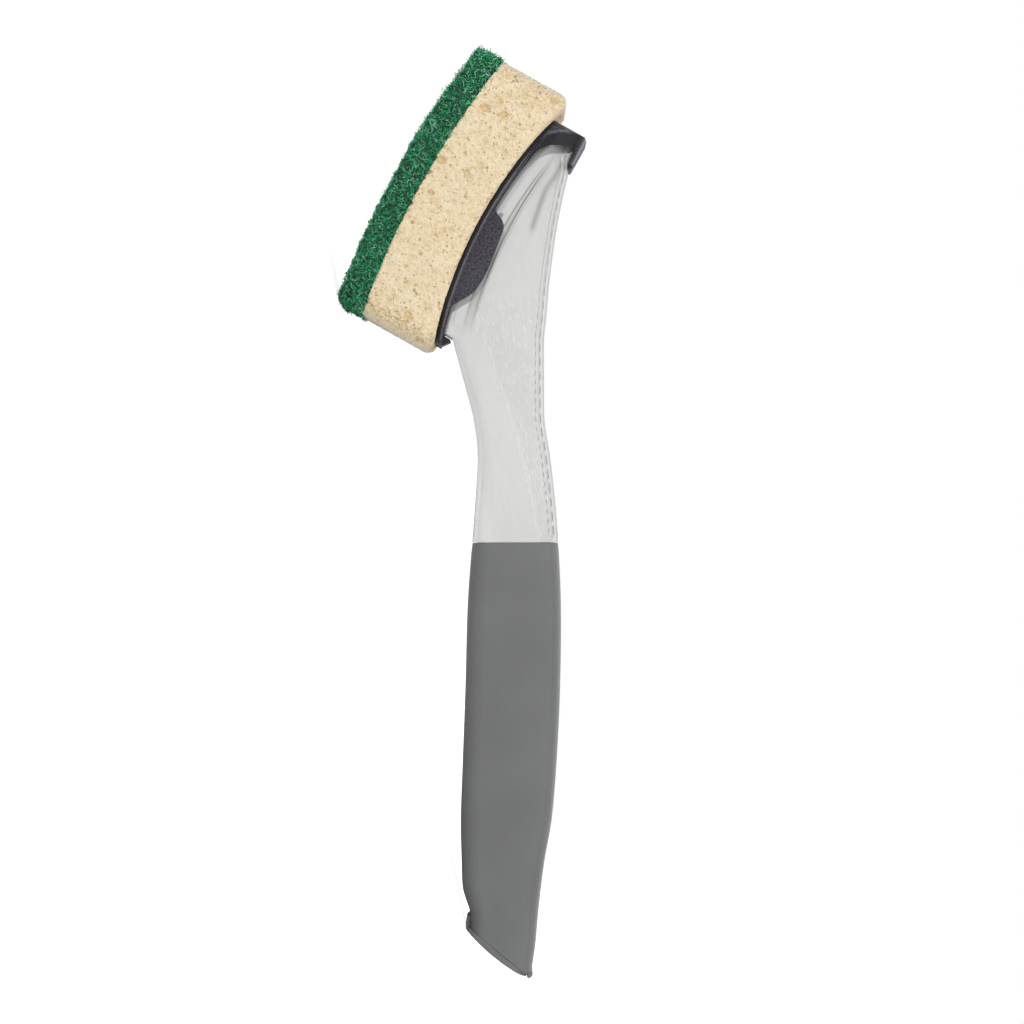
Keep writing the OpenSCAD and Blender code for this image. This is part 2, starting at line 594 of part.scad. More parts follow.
// Flip lid: crowned plate, hollow plug for the filler bore, and thumb lip
module filler_lid() {
    half = (lid_x1 - lid_x0) / 2;
    crown_r = (half * half + lid_crown * lid_crown) / (2 * lid_crown);
    crown_h = lid_edge_t + lid_crown - crown_r;
    plug_r = filler_r - 0.15;
    plug_tip_r = plug_r - 0.9;
    color("gray") in_mouth() difference() {
        union() {
            intersection() {
                profile(concat([[lid_x0, 0], [lid_x1, 0]],
                               [for (i = [6:-1:-6]) let (x = half * i / 6)
                                   [lid_x0 + half + x, crown_h + sqrt(crown_r * crown_r - x * x)]]), mouth_w);
                rounded_prism(lid_x0, lid_x1, mouth_w, 5, -1, 5);
            }
            translate([filler_offset, 0, -1.4]) cylinder(h = 1.5, r = plug_r, $fn = 64);
            translate([filler_offset, 0, -plug_h])
                cylinder(h = plug_h - 1.4, r1 = plug_tip_r, r2 = plug_r, $fn = 64);
            profile([[lid_x1 - 1, 0.9], [lid_x1 - 1, 0], [lid_x1 - 0.5, -1.2], [lid_x1 + 0.9, -3.2],
                     [lid_x1 + 1.7, -3], [lid_x1 + 1.9, -2], [lid_x1 + 1.1, -0.4], [lid_x1, 0.9]], lip_w);
        }
        translate([filler_offset, 0, -plug_h - 1])
            cylinder(h = plug_h + 0.8, r = plug_tip_r - plug_t, $fn = 64);
    }
}

scour_pad();
sponge();
backing_plate();
heel_latch();
reservoir_tub();
reservoir_cover();
drip_valve();
grip_sleeve();
filler_collar();
lid_hinge();
filler_lid();

// Joint and interface positions in the wand's resting frame, in millimetres
echo(refill_swing = placed(head_pt([nib_x, nib_h])));
echo(latch_flex = placed(head_pt(latch_foot)));
echo(lid_flip = placed([handle_len, hinge_z]));
echo(filler_mouth = placed(mouth_pt(filler_offset, -lid_seat)), rest_tilt = rest_tilt);
echo(outlet = placed(head_pt([0, sole_h])));
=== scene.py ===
"""Dish wand: a clear liquid-filled neck, a grey grip with a flip lid, and a hooked-on sponge refill."""
import json
import logging
import math
from dataclasses import dataclass, field
from enum import Enum
from typing import Iterable, Sequence

import bmesh
import bpy
import numpy as np
from mathutils import Matrix, Vector
from mathutils.kdtree import KDTree


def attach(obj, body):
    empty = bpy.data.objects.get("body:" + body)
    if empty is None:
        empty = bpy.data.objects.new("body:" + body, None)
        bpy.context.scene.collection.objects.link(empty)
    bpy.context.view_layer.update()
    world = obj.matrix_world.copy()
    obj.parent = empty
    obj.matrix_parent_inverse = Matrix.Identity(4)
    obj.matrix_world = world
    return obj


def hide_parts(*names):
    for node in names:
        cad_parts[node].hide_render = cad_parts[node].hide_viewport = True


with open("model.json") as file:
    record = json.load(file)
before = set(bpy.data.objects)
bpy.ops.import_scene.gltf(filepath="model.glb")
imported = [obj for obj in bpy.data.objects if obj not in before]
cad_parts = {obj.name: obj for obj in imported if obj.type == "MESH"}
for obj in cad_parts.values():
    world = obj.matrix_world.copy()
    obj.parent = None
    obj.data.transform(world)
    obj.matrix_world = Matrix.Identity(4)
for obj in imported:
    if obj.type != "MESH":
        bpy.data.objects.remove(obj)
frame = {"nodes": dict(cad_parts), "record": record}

LOG = logging.getLogger("dish_wand")
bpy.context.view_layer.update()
MM = 0.001
REST_TILT = math.radians(11.4017)

Socket = bpy.types.NodeSocket
Piece = bpy.types.Object
Tree = bpy.types.NodeTree
Pair = tuple[float, float]
Paint = bpy.types.Material
Path = tuple[Pair, ...]


class Slot(str, Enum):
    """Material slots of the record."""

    NONWOVEN = "scouring_nonwoven"
    SPONGE = "cellulose_sponge"
    PLATE = "plate_plastic"
    CLEAR = "clear_plastic"
    GRIP = "grip_plastic"


def linear(hex_code: str) -> tuple[float, float, float, float]:
    """Turn an sRGB colour code into a linear colour.

    Args:
        hex_code: six hexadecimal digits.

    Returns:
        Red, green, blue and alpha.
    """
    parts = [int(hex_code[i:i + 2], 16) / 255 for i in (0, 2, 4)]
    return tuple(v / 12.92 if v <= 0.04045 else ((v + 0.055) / 1.055) ** 2.4 for v in parts) + (1.0,)


# ---------------------------------------------------------------------------------------------- places


@dataclass(frozen=True)
class Places:
    """Where the handle's and the refill's own frames lie in the wand's resting frame.

    Both frames are in millimetres: x along the handle or the refill, y across, z to the back.
    """

    lid_pivot: Vector
    nib_pivot: Vector
    rest_tilt: float = REST_TILT
    head_tilt: float = math.radians(29.2)
    lid_at: Pair = (199.9, 26.25)
    nib_at: Pair = (-27.2, 42.0)
    sole_height: float = 28.2
    sole_radius: float = 138.7
    heel_x: float = 37.0

    def sole(self, x: float) -> float:
        """Height of the handle's bent sole in the refill's frame."""
        return self.sole_height + self.sole_radius - math.sqrt(self.sole_radius * self.sole_radius - x * x)

    def refill_to_handle(self, x: float, h: float) -> Pair:
        """Take a side point of the refill to the handle's frame.

        Args:
            x: its place along the refill.
            h: its height over the refill's chord line.

        Returns:
            Its x and z in the handle's frame.
        """
        c, s = math.cos(self.head_tilt), math.sin(self.head_tilt)
        top = self.sole(self.heel_x)
        x0, z0 = -self.heel_x * c - top * s, self.heel_x * s - top * c
        return x0 + x * c + h * s, z0 - x * s + h * c

    def handle(self, points: np.ndarray) -> np.ndarray:
        """Take points of the handle's frame to the resting frame, from millimetres to metres.

        Args:
            points: any array of points.

        Returns:
            The moved points.
        """
        p = np.asarray(points, float)
        c, s = math.cos(self.rest_tilt), math.sin(self.rest_tilt)
        dx, dz = p[..., 0] - self.lid_at[0], p[..., 2] - self.lid_at[1]
        x, z = self.lid_pivot.x + (dx * c + dz * s) * MM, self.lid_pivot.z + (dz * c - dx * s) * MM
        return np.stack([x, p[..., 1] * MM, z], -1)

    def to_handle(self, points: np.ndarray) -> np.ndarray:
        """Take points of the resting frame to the handle's frame."""
        return self._turned_back(points, self.lid_at, self.lid_pivot, self.rest_tilt)

    def to_refill(self, points: np.ndarray) -> np.ndarray:
        """Take points of the resting frame to the refill's frame."""
        return self._turned_back(points, self.nib_at, self.nib_pivot, self.rest_tilt + self.head_tilt)

    @staticmethod
    def _turned_back(points: np.ndarray, at: Pair, pivot: Vector, tilt: float) -> np.ndarray:
        """Turn points back about a pivot, from metres to millimetres.

        Args:
            points: an array of points.
            at: the pivot's x and z in the wanted frame.
            pivot: the pivot in the resting frame.
            tilt: angle between the frames.

        Returns:
            The moved points.
        """
        c, s = math.cos(tilt), math.sin(tilt)
        dx, dz = (points[..., 0] - pivot.x) / MM, (points[..., 2] - pivot.z) / MM
        return np.stack([at[0] + dx * c - dz * s, points[..., 1] / MM, at[1] + dx * s + dz * c], -1)


def run_distance(x: np.ndarray, z: np.ndarray, path: Path) -> np.ndarray:
    """Distance of side points from a broken line.

    Args:
        x: first coordinates.
        z: second coordinates.
        path: corners of the line.

    Returns:
        The distances.
    """
    run = np.array(path, float)
    near = np.full(len(x), np.inf)
    for a, b in zip(run[:-1], run[1:]):
        d = b - a
        t = np.clip(((x - a[0]) * d[0] + (z - a[1]) * d[1]) / (d @ d), 0, 1)
        near = np.minimum(near, np.hypot(x - a[0] - t * d[0], z - a[1] - t * d[1]))
    return near


def joint_place(name: str) -> Vector:
    """Find a joint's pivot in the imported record.

    Args:
        name: the joint's name.

    Returns:
        The pivot, in metres.
    """
    for joint in frame["record"]["behaviour"]["joints"]:
        if joint["name"] == name:
            return Vector(joint["pos_m"])
    raise KeyError(name)


# ------------------------------------------------------------------------------------------------ nodes


class Wiring:
    """Adds nodes and links to one node tree."""

    def __init__(self, tree: Tree) -> None:
        """Take the tree that the nodes go into."""
        self.tree = tree

    def feed(self, target: Socket, value: object) -> None:
        """Link a socket to an input, or set the input to a constant.

        Args:
            target: the input.
            value: a socket or a constant.
        """
        if isinstance(value, bpy.types.NodeSocket):
            self.tree.links.new(value, target)
        else:
            target.default_value = value

    def node(self, kind: str, **values: object) -> bpy.types.Node:
        """Add a node.

        Args:
            kind: the node's type.
            values: its properties, and its inputs written with underscores for spaces.

        Returns:
            The new node.
        """
        made = self.tree.nodes.new(kind)
        for key, value in values.items():
            if hasattr(made, key):
                setattr(made, key, value)
            else:
                self.feed(made.inputs[key.replace("_", " ")], value)
        return made

    def calc(self, operation: str, *values: object, clamp: bool = False) -> Socket:
        """Work out one value from others.

        Args:
            operation: the math node's operation.
            values: sockets or constants.
            clamp: whether the result stays within 0 and 1.

        Returns:
            The result.
        """
        made = self.node("ShaderNodeMath", operation=operation, use_clamp=clamp)
        for target, value in zip(made.inputs, values):
            self.feed(target, value)
        return made.outputs[0]

    def mix(self, share: Socket, low: object, high: object, kind: str = "RGBA",
            blend: str = "MIX") -> Socket:
        """Mix two colours or, with kind FLOAT, two values.

        Args:
            share: how much of the second one.
            low: the first.
            high: the second.
            kind: RGBA or FLOAT.
            blend: how colours are mixed.

        Returns:
            The mixture.
        """
        made = self.node("ShaderNodeMix", data_type=kind, blend_type=blend)
        places, result = ((0, 6, 7), 2) if kind == "RGBA" else ((0, 2, 3), 0)
        for i, value in zip(places, (share, low, high)):
            self.feed(made.inputs[i], value)
        return made.outputs[result]

    def span(self, value: Socket, **ends: object) -> Socket:
        """Bring a value from one range to another, each 0 to 1 unless its ends are given."""
        return self.node("ShaderNodeMapRange", Value=value, **ends).outputs[0]

    def noise(self, where: Socket, scale: object, detail: float = 2.0) -> Socket:
        """Soft noise at a place."""
        return self.node("ShaderNodeTexNoise", Vector=where, Scale=scale, Detail=detail).outputs["Fac"]

    def cells(self, where: Socket, scale: float) -> Socket:
        """Distance to the nearest of some scattered points."""
        return self.node("ShaderNodeTexVoronoi", Vector=where, Scale=scale).outputs["Distance"]

    def ray(self, *kinds: str) -> Socket:
        """Tell rays of the given kinds, 1, from all others, 0.

        Args:
            kinds: names of the kinds.

        Returns:
            Whether a ray is of one of them.
        """
        path = self.node("ShaderNodeLightPath").outputs
        found = path[f"Is {kinds[0]} Ray"]
        for kind in kinds[1:]:
            found = self.calc("MAXIMUM", found, path[f"Is {kind} Ray"])
        return found


class Shade(Wiring):
    """One material with a Principled surface."""

    def __init__(self, name: str, group: Tree | None = None) -> None:
        """Start the material.

        Args:
            name: the material's name.
            group: the soft mottle group, if the material uses it.
        """
        self.group = group
        self.material = bpy.data.materials.new(name)
        self.material.use_nodes = True
        super().__init__(self.material.node_tree)
        self.surface = self.tree.nodes["Principled BSDF"]

    def place(self, turn: Sequence[float] = (0, 0, 0), scale: Sequence[float] = (1, 1, 1)) -> Socket:
        """Object coordinates, turned and scaled."""
        coords = self.node("ShaderNodeTexCoord").outputs["Object"]
        return self.node("ShaderNodeMapping", Vector=coords, Rotation=turn, Scale=scale).outputs["Vector"]

    def attribute(self, name: str) -> Socket:
        """A value stored on the mesh."""
        return self.node("ShaderNodeAttribute", attribute_name=name).outputs["Fac"]

    def mottle(self, where: Socket, colours: tuple[str, str], rough: Pair,
               **values: float) -> bpy.types.bpy_prop_collection:
        """Place the soft mottle group, and feed its roughness to the surface.

        Args:
            where: coordinates.
            colours: low and high colour.
            rough: low and high roughness.
            values: its other inputs, written with underscores for spaces.

        Returns:
            The group's outputs.
        """
        made = self.node("ShaderNodeGroup", node_tree=self.group, Vector=where, Low=linear(colours[0]),
                         High=linear(colours[1]), Rough_Low=rough[0], Rough_High=rough[1], **values)
        self.paint(Roughness=made.outputs["Roughness"])
        return made.outputs

    def paint(self, **values: object) -> None:
        """Feed the surface's inputs, written with underscores for spaces."""
        for key, value in values.items():
            self.feed(self.surface.inputs[key.replace("_", " ")], value)

    def relief(self, height: Socket, distance: float, strength: float = 1.0) -> None:
        """Feed a height to the surface's normal, with the distance in millimetres."""
        bump = self.node("ShaderNodeBump", Distance=distance * MM, Strength=strength, Height=height)
        self.paint(Normal=bump.outputs["Normal"])


def new_group(name: str, kind: str, inputs: Iterable[tuple], outputs: Iterable[tuple]) -> Tree:
    """Make an empty node group with named sockets.

    Args:
        name: the group's name.
        kind: its tree type.
        inputs: name, socket type and default of each input.
        outputs: name and socket type of each output.

    Returns:
        The group's tree.
    """
    tree = bpy.data.node_groups.new(name, kind)
    for label, socket_type, default in inputs:
        socket = tree.interface.new_socket(label, in_out="INPUT", socket_type="NodeSocket" + socket_type)
        if default is not None:
            socket.default_value = default
    for label, socket_type in outputs:
        tree.interface.new_socket(label, in_out="OUTPUT", socket_type="NodeSocket" + socket_type)
    return tree


def mottle_group() -> Tree:
    """Build the group that varies a colour and a roughness in soft patches.

    Returns:
        A group with Color, Roughness and Height outputs.
    """
    tree = new_group(
        "soft_mottle", "ShaderNodeTree",
        [("Vector", "Vector", None), ("Patch Scale", "Float", 60.0), ("Grain Scale", "Float", 2500.0),
         ("Low", "Color", None), ("High", "Color", None), ("Rough Low", "Float", 0.4),
         ("Rough High", "Float", 0.5), ("Grain Share", "Float", 0.35)],
        [("Color", "Color"), ("Roughness", "Float"), ("Height", "Float")])
    wire = Wiring(tree)
    given = wire.node("NodeGroupInput").outputs
    patch = wire.noise(given["Vector"], given["Patch Scale"], 4.0)
    grain = wire.noise(given["Vector"], given["Grain Scale"])
    level = wire.span(wire.mix(given["Grain Share"], patch, grain, "FLOAT"), From_Min=0.36, From_Max=0.64)
    wire.node("NodeGroupOutput", Color=wire.mix(level, given["Low"], given["High"]), Height=grain,
              Roughness=wire.span(level, To_Min=given["Rough Low"], To_Max=given["Rough High"]))
    return tree


# --------------------------------------------------------------------------------------------- finishes


class Finish:
    """A finish whose colour and roughness vary in soft patches."""

    name: str

    def build(self, group: Tree) -> Paint:
        """Make the material.

        Args:
            group: the soft mottle group.

        Returns:
            The material.
        """
        shade = Shade(self.name, group)
        self._wire(shade)
        return shade.material

    def _wire(self, shade: Shade) -> None:
        """Dress the surface, which each kind of finish does in its own way."""
        raise NotImplementedError


@dataclass(frozen=True)
class MouldedFinish(Finish):
    """Moulded plastic with a fine grain; if it has colours for them, painted shade and painted highlights
    follow a stored value.
    """

    name: str
    colours: tuple[str, str]
    roughness: Pair
    grain_scale: float
    grain_depth: float
    specular: float = 0.4
    grain_share: float = 0.35
    painted_light_colours: tuple[str, str] | None = None

    def _wire(self, shade: Shade) -> None:
        """Dress the surface.

        Args:
            shade: the material.
        """
        mottle = shade.mottle(shade.place(), self.colours, self.roughness,
                              Grain_Scale=self.grain_scale, Grain_Share=self.grain_share)
        colour = mottle["Color"]
        # painted shade and painted highlights, mixed in by a stored value
        if self.painted_light_colours:
            tone = shade.attribute("tone")
            for hex_code, end in zip(self.painted_light_colours, (-1.0, 1.0)):
                colour = shade.mix(shade.calc("MULTIPLY", tone, end, clamp=True), colour, linear(hex_code))
        shade.paint(Base_Color=colour, Specular_IOR_Level=self.specular)
        shade.relief(mottle["Height"], self.grain_depth)


@dataclass(frozen=True)
class ClearFinish(Finish):
    """Frosted clear plastic: milky at its rims and on its streaked panel, with painted glints on the panel,
    a painted highlight along the panel's ridge and painted shade along its grooves and creases.
    """

    name: str = "frosted_clear_plastic"
    colours: tuple[str, str] = ("D7D9D6", "DFE1DE")
    roughness: Pair = (0.30, 0.42)
    # painted highlight colour, for the glints on the panel and the highlight along its ridge
    painted_highlight: str = "F7F8F6"
    # painted shade colour, along the grooves and creases
    line: str = "63675C"
    rim: str = "9A9D98"
    alpha: Pair = (0.42, 0.75)
    rim_alpha: float = 0.55
    panel_milk: float = 0.3
    flow_turn: float = math.radians(11.4)
    flow_stretch: float = 0.16
    streak_depth: float = 0.12

    def _wire(self, shade: Shade) -> None:
        """Dress the surface from the vessel's stored values: painted glints on the panel, painted highlight
        along its ridge, painted shade along its lines.

        Args:
            shade: the material.
        """
        along = shade.place((0, self.flow_turn, 0), (self.flow_stretch, 1, 1))
        mottle = shade.mottle(along, self.colours, self.roughness, Grain_Scale=900.0, Patch_Scale=120.0)
        panel, line, painted_ridge_highlight = (shade.attribute(name) for name in ("panel", "line", "painted_ridge_highlight"))
        # painted glints on the textured panel
        painted_glints = shade.span(shade.noise(along, 2300.0), From_Min=0.54, From_Max=0.74, To_Max=0.5)
        # painted glints and the ridge's painted highlight; the same value also gives the panel's bump
        white = shade.calc("MAXIMUM", shade.calc("MULTIPLY", painted_glints, panel), painted_ridge_highlight)
        pale = shade.mix(white, mottle["Color"], linear(self.painted_highlight))
        # painted shade along the grooves and creases
        with_painted_shade = shade.mix(line, pale, linear(self.line), blend="MULTIPLY")
        drawn = shade.calc("MAXIMUM", white, line)
        milk = shade.calc("MULTIPLY_ADD", panel, self.panel_milk, drawn, clamp=True)
        veil = shade.span(milk, To_Min=self.alpha[0], To_Max=self.alpha[1])
        thick = shade.calc("POWER", shade.node("ShaderNodeLayerWeight", Blend=0.3).outputs["Facing"], 2.5)
        shade.paint(Base_Color=shade.mix(thick, with_painted_shade, linear(self.rim)),
                    Alpha=shade.calc("MULTIPLY_ADD", thick, self.rim_alpha, veil, clamp=True))
        shade.relief(white, self.streak_depth, 0.7)


@dataclass(frozen=True)
class SpongeFinish(Finish):
    """Cellulose sponge: cream, with tan painted shade in its pores and pinholes and painted light towards its
    ends.
    """

    name: str = "cream_cellulose"
    colours: tuple[str, str] = ("EFD8AE", "F9E9CE")
    # painted shade colours: in the pores, and in the pinholes
    deep: str = "CBA75A"
    hole: str = "A78747"
    # painted light colour towards the sponge's ends
    cut: str = "F3EEE8"
    fine_holes: Pair = (820.0, 0.24)
    wide_holes: Pair = (400.0, 0.2)

    def _wire(self, shade: Shade) -> None:
        """Dress the surface, which reads the painted shade of the sponge's pores and the painted light of its
        ends.

        Args:
            shade: the material.
        """
        where = shade.place()
        mottle = shade.mottle(where, self.colours, (0.85, 0.95), Patch_Scale=300.0, Grain_Scale=2300.0,
                              Grain_Share=0.6)
        colour = mottle["Color"]
        fine, wide = (self._pinholes(shade, where, *kind) for kind in (self.fine_holes, self.wide_holes))
        # painted shade in pores and pinholes, then painted light towards the ends
        for share, hex_code in ((shade.attribute("pore"), self.deep), (fine, self.hole), (wide, self.hole),
                                (shade.attribute("cut_edge"), self.cut)):
            colour = shade.mix(share, colour, linear(hex_code))
        shade.paint(Base_Color=colour, Specular_IOR_Level=0.15)
        shade.relief(shade.calc("SUBTRACT", shade.cells(where, 1500.0), fine), 0.4, 0.9)

    @staticmethod
    def _pinholes(shade: Shade, where: Socket, scale: float, size: float) -> Socket:
        """Scatter small holes of uneven size.

        Args:
            shade: the material.
            where: its coordinates.
            scale: holes for each metre.
            size: a hole's radius, as a share of their spacing.

        Returns:
            How much of a hole each place is.
        """
        reach = shade.calc("MULTIPLY_ADD", shade.noise(where, scale * 0.7), 0.9, shade.cells(where, scale))
        return shade.span(reach, From_Min=0.36 + size * 0.6, From_Max=0.36 + size * 1.3, To_Min=0.6, To_Max=0.0)


@dataclass(frozen=True)
class FibreFinish(Finish):
    """Scouring fibre: green nylon coated with grit, with painted highlights on fibres picked at random."""

    name: str
    colours: tuple[str, str]
    # colour of the painted highlights
    light: str

    def _wire(self, shade: Shade) -> None:
        """Dress the surface, with painted highlights on the fibres that their stored random value picks.

        Args:
            shade: the material.
        """
        mottle = shade.mottle(shade.place(), self.colours, (0.3, 0.6), Patch_Scale=420.0,
                              Grain_Scale=1600.0)
        # painted highlights: fibres with a high random value turn pale
        highlight_share = shade.calc("POWER", shade.attribute("tone"), 2.6)
        shade.paint(Base_Color=shade.mix(highlight_share, mottle["Color"], linear(self.light)), Specular_IOR_Level=0.3)
        shade.relief(mottle["Height"], 0.2)


class Finishes:
    """Every finish of the wand, built once."""

    def __init__(self) -> None:
        """Build the shared group and the materials."""
        group = mottle_group()
        # the plate's last two colours are its painted shade and its painted highlight
        self.plate = MouldedFinish("grained_charcoal_plastic", ("252329", "54525C"), (0.5, 0.64), 1500.0, 0.16,
                                   0.22, 0.85, ("141317", "A39FA5")).build(group)
        # smoother plastic on the rounded edges, also painted darker as painted shade along them
        self.plate_edge = MouldedFinish("smooth_charcoal_edge", ("1B1A1E", "27262B"), (0.42, 0.5), 900.0, 0.02,
                                        0.2).build(group)
        self.grip = MouldedFinish("satin_grey_plastic", ("6A6B6B", "717272"), (0.42, 0.52), 3600.0,
                                  0.04).build(group)
        self.valve = MouldedFinish("matt_grey_silicone", ("4A4A4C", "5C5C5E"), (0.6, 0.75), 2000.0, 0.03,
                                   0.3).build(group)
        self.weld = MouldedFinish("weld_grey", ("84877F", "A2A59D"), (0.4, 0.5), 900.0, 0.01).build(group)
        self.clear = ClearFinish().build(group)
        self.clear_inner = ClearFinish("frosted_clear_inner_wall", ("BFC2BF", "CBCECB"), alpha=(0.10, 0.25),
                                       rim_alpha=0.5).build(group)
        self.sponge = SpongeFinish().build(group)
        # each fibre look's last colour is its painted highlight
        self.core, self.fibre, self.fibre_deep = (FibreFinish(*look).build(group) for look in (
            ("green_nonwoven_core", ("06301D", "0D4A30"), "0D4A30"),
            ("green_nonwoven_fibre", ("008A50", "18B976"), "B0F3D0"),
            ("green_nonwoven_deep_fibre", ("003A20", "047D4D"), "5BD09B")))


# ----------------------------------------------------------------------------------------------- meshes


def linked(name: str, data: bpy.types.ID) -> Piece:
    """Put a mesh, a light or a camera into the scene as an object at the origin.

    Args:
        name: the object's name.
        data: what it shows.

    Returns:
        The object.
    """
    made = bpy.data.objects.new(name, data)
    bpy.context.scene.collection.objects.link(made)
    return made


def from_bmesh(work: bmesh.types.BMesh, name: str) -> Piece:
    """Put an edited mesh into the scene as a new object, and free it.

    Args:
        work: the edited mesh.
        name: the new piece's name.

    Returns:
        The new piece.
    """
    mesh = bpy.data.meshes.new(name)
    work.to_mesh(mesh)
    work.free()
    return linked(name, mesh)


def make_object(name: str, points: Iterable, faces: Iterable, material: Paint) -> Piece:
    """Make a mesh object at the origin.

    Args:
        name: the piece's name.
        points: vertices in metres.
        faces: vertex numbers of each face.
        material: its material.

    Returns:
        The object, linked to the scene.
    """
    mesh = bpy.data.meshes.new(name)
    mesh.from_pydata([tuple(p) for p in points], [], [tuple(f) for f in faces])
    mesh.materials.append(material)
    mesh.validate()
    mesh.update()
    return linked(name, mesh)


def point_outwards(piece: Piece, merge: float = 0.0) -> None:
    """Merge doubles and turn all faces outwards.

    Args:
        piece: a closed mesh.
        merge: merging distance in metres, or 0 to merge nothing.
    """
    work = bmesh.new()
    work.from_mesh(piece.data)
    if merge > 0:
        bmesh.ops.remove_doubles(work, verts=work.verts, dist=merge)
    bmesh.ops.recalc_face_normals(work, faces=work.faces)
    work.to_mesh(piece.data)
    work.free()


def smooth_shading(piece: Piece, angle: float | None = None) -> None:
    """Shade smooth, with edges sharper than an angle kept if one is given.

    Args:
        piece: the piece.
        angle: least angle of an edge that stays sharp, in degrees.
    """
    piece.data.polygons.foreach_set("use_smooth", [True] * len(piece.data.polygons))
    if angle is not None:
        piece.data.set_sharp_from_angle(angle=math.radians(angle))


def applied(piece: Piece) -> None:
    """Turn a piece's modifiers into plain mesh.

    Args:
        piece: the piece.
    """
    shaped = bpy.data.meshes.new_from_object(piece.evaluated_get(bpy.context.evaluated_depsgraph_get()))
    piece.modifiers.clear()
    piece.data = shaped


def vertex_values(piece: Piece, what: str = "co") -> np.ndarray:
    """Read each vertex's place, or its normal.

    Args:
        piece: the piece.
        what: co or normal.

    Returns:
        One row for each vertex.
    """
    flat = np.empty(len(piece.data.vertices) * 3)
    piece.data.vertices.foreach_get(what, flat)
    return flat.reshape(-1, 3)


def move_vertices(piece: Piece, points: np.ndarray) -> None:
    """Move a piece's vertices to new places."""
    piece.data.vertices.foreach_set("co", points.reshape(-1))
    piece.data.update()


def set_attribute(piece: Piece, name: str, values: Sequence[float]) -> None:
    """Store a value at each point of a piece."""
    layer = piece.data.attributes.new(name, "FLOAT", "POINT")
    layer.data.foreach_set("value", np.asarray(values, np.float32))


def copied_node(node: str, name: str, material: Paint) -> Piece:
    """Copy a CAD node's mesh into a new piece, with its flat faces joined up.

    Args:
        node: the CAD node.
        name: the new piece's name.
        material: its material.

    Returns:
        The new piece.
    """
    work = bmesh.new()
    work.from_mesh(frame["nodes"][node].data)
    bmesh.ops.remove_doubles(work, verts=work.verts, dist=2e-6)
    bmesh.ops.dissolve_limit(work, angle_limit=math.radians(1.0), verts=work.verts, edges=work.edges)
    made = from_bmesh(work, name)
    made.data.materials.append(material)
    return made


def painted_node(node: str, material: Paint) -> None:
    """Give a CAD node a new material and leave its shape.

    Args:
        node: the CAD node.
        material: its new material.
    """
    materials = frame["nodes"][node].data.materials
    materials.clear()
    materials.append(material)


def even_skin(piece: Piece, size: float) -> None:
    """Rebuild a piece's surface from small even faces.

    Args:
        piece: the piece.
        size: size of a face, in millimetres.
    """
    remesh = piece.modifiers.new("even_skin", "REMESH")
    remesh.mode = "VOXEL"
    remesh.voxel_size = size * MM
    applied(piece)


def bevelled(piece: Piece, width: float, angle: float, slot: int = 0) -> None:
    """Round a piece's edges.

    Args:
        piece: the piece.
        width: bevel width in millimetres.
        angle: least angle of an edge that is rounded, in degrees.
        slot: material slot of the rounded edges.
    """
    bevel = piece.modifiers.new("rounded_edges", "BEVEL")
    bevel.width = width * MM
    bevel.segments = 3
    bevel.limit_method = "ANGLE"
    bevel.angle_limit = math.radians(angle)
    bevel.material = slot
    applied(piece)
    smooth_shading(piece, 40)


def skin(rings: np.ndarray, capped: bool = True) -> tuple[np.ndarray, list[tuple[int, ...]]]:
    """Join closed rings into a surface.

    Args:
        rings: stations by points by coordinates.
        capped: whether the first and the last ring are closed.

    Returns:
        Points and faces.
    """
    n, m = rings.shape[:2]
    faces: list[tuple[int, ...]] = []
    for i in range(n - 1):
        for j in range(m):
            k = (j + 1) % m
            faces.append((i * m + j, i * m + k, (i + 1) * m + k, (i + 1) * m + j))
    if capped:
        faces += [tuple(range(m - 1, -1, -1)), tuple((n - 1) * m + j for j in range(m))]
    return rings.reshape(-1, 3), faces


def skinned(name: str, places: Places, rings: np.ndarray, material: Paint, angle: float | None = None,
            capped: bool = True, merge: float = 0.0) -> Piece:
    """Make a piece from closed rings of the handle's frame.

    Args:
        name: the piece's name.
        places: the wand's frames.
        rings: stations by points by coordinates, in millimetres.
        material: its material.
        angle: least angle of an edge that stays sharp, or None for flat faces.
        capped: whether the first and the last ring are closed.
        merge: merging distance in metres, or 0 to merge nothing.

    Returns:
        The piece.
    """
    points, faces = skin(rings, capped)
    made = make_object(name, places.handle(points), faces, material)
    point_outwards(made, merge)
    if angle is not None:
        smooth_shading(made, angle)
    return made


# ----------------------------------------------------------------------------------------------- handle


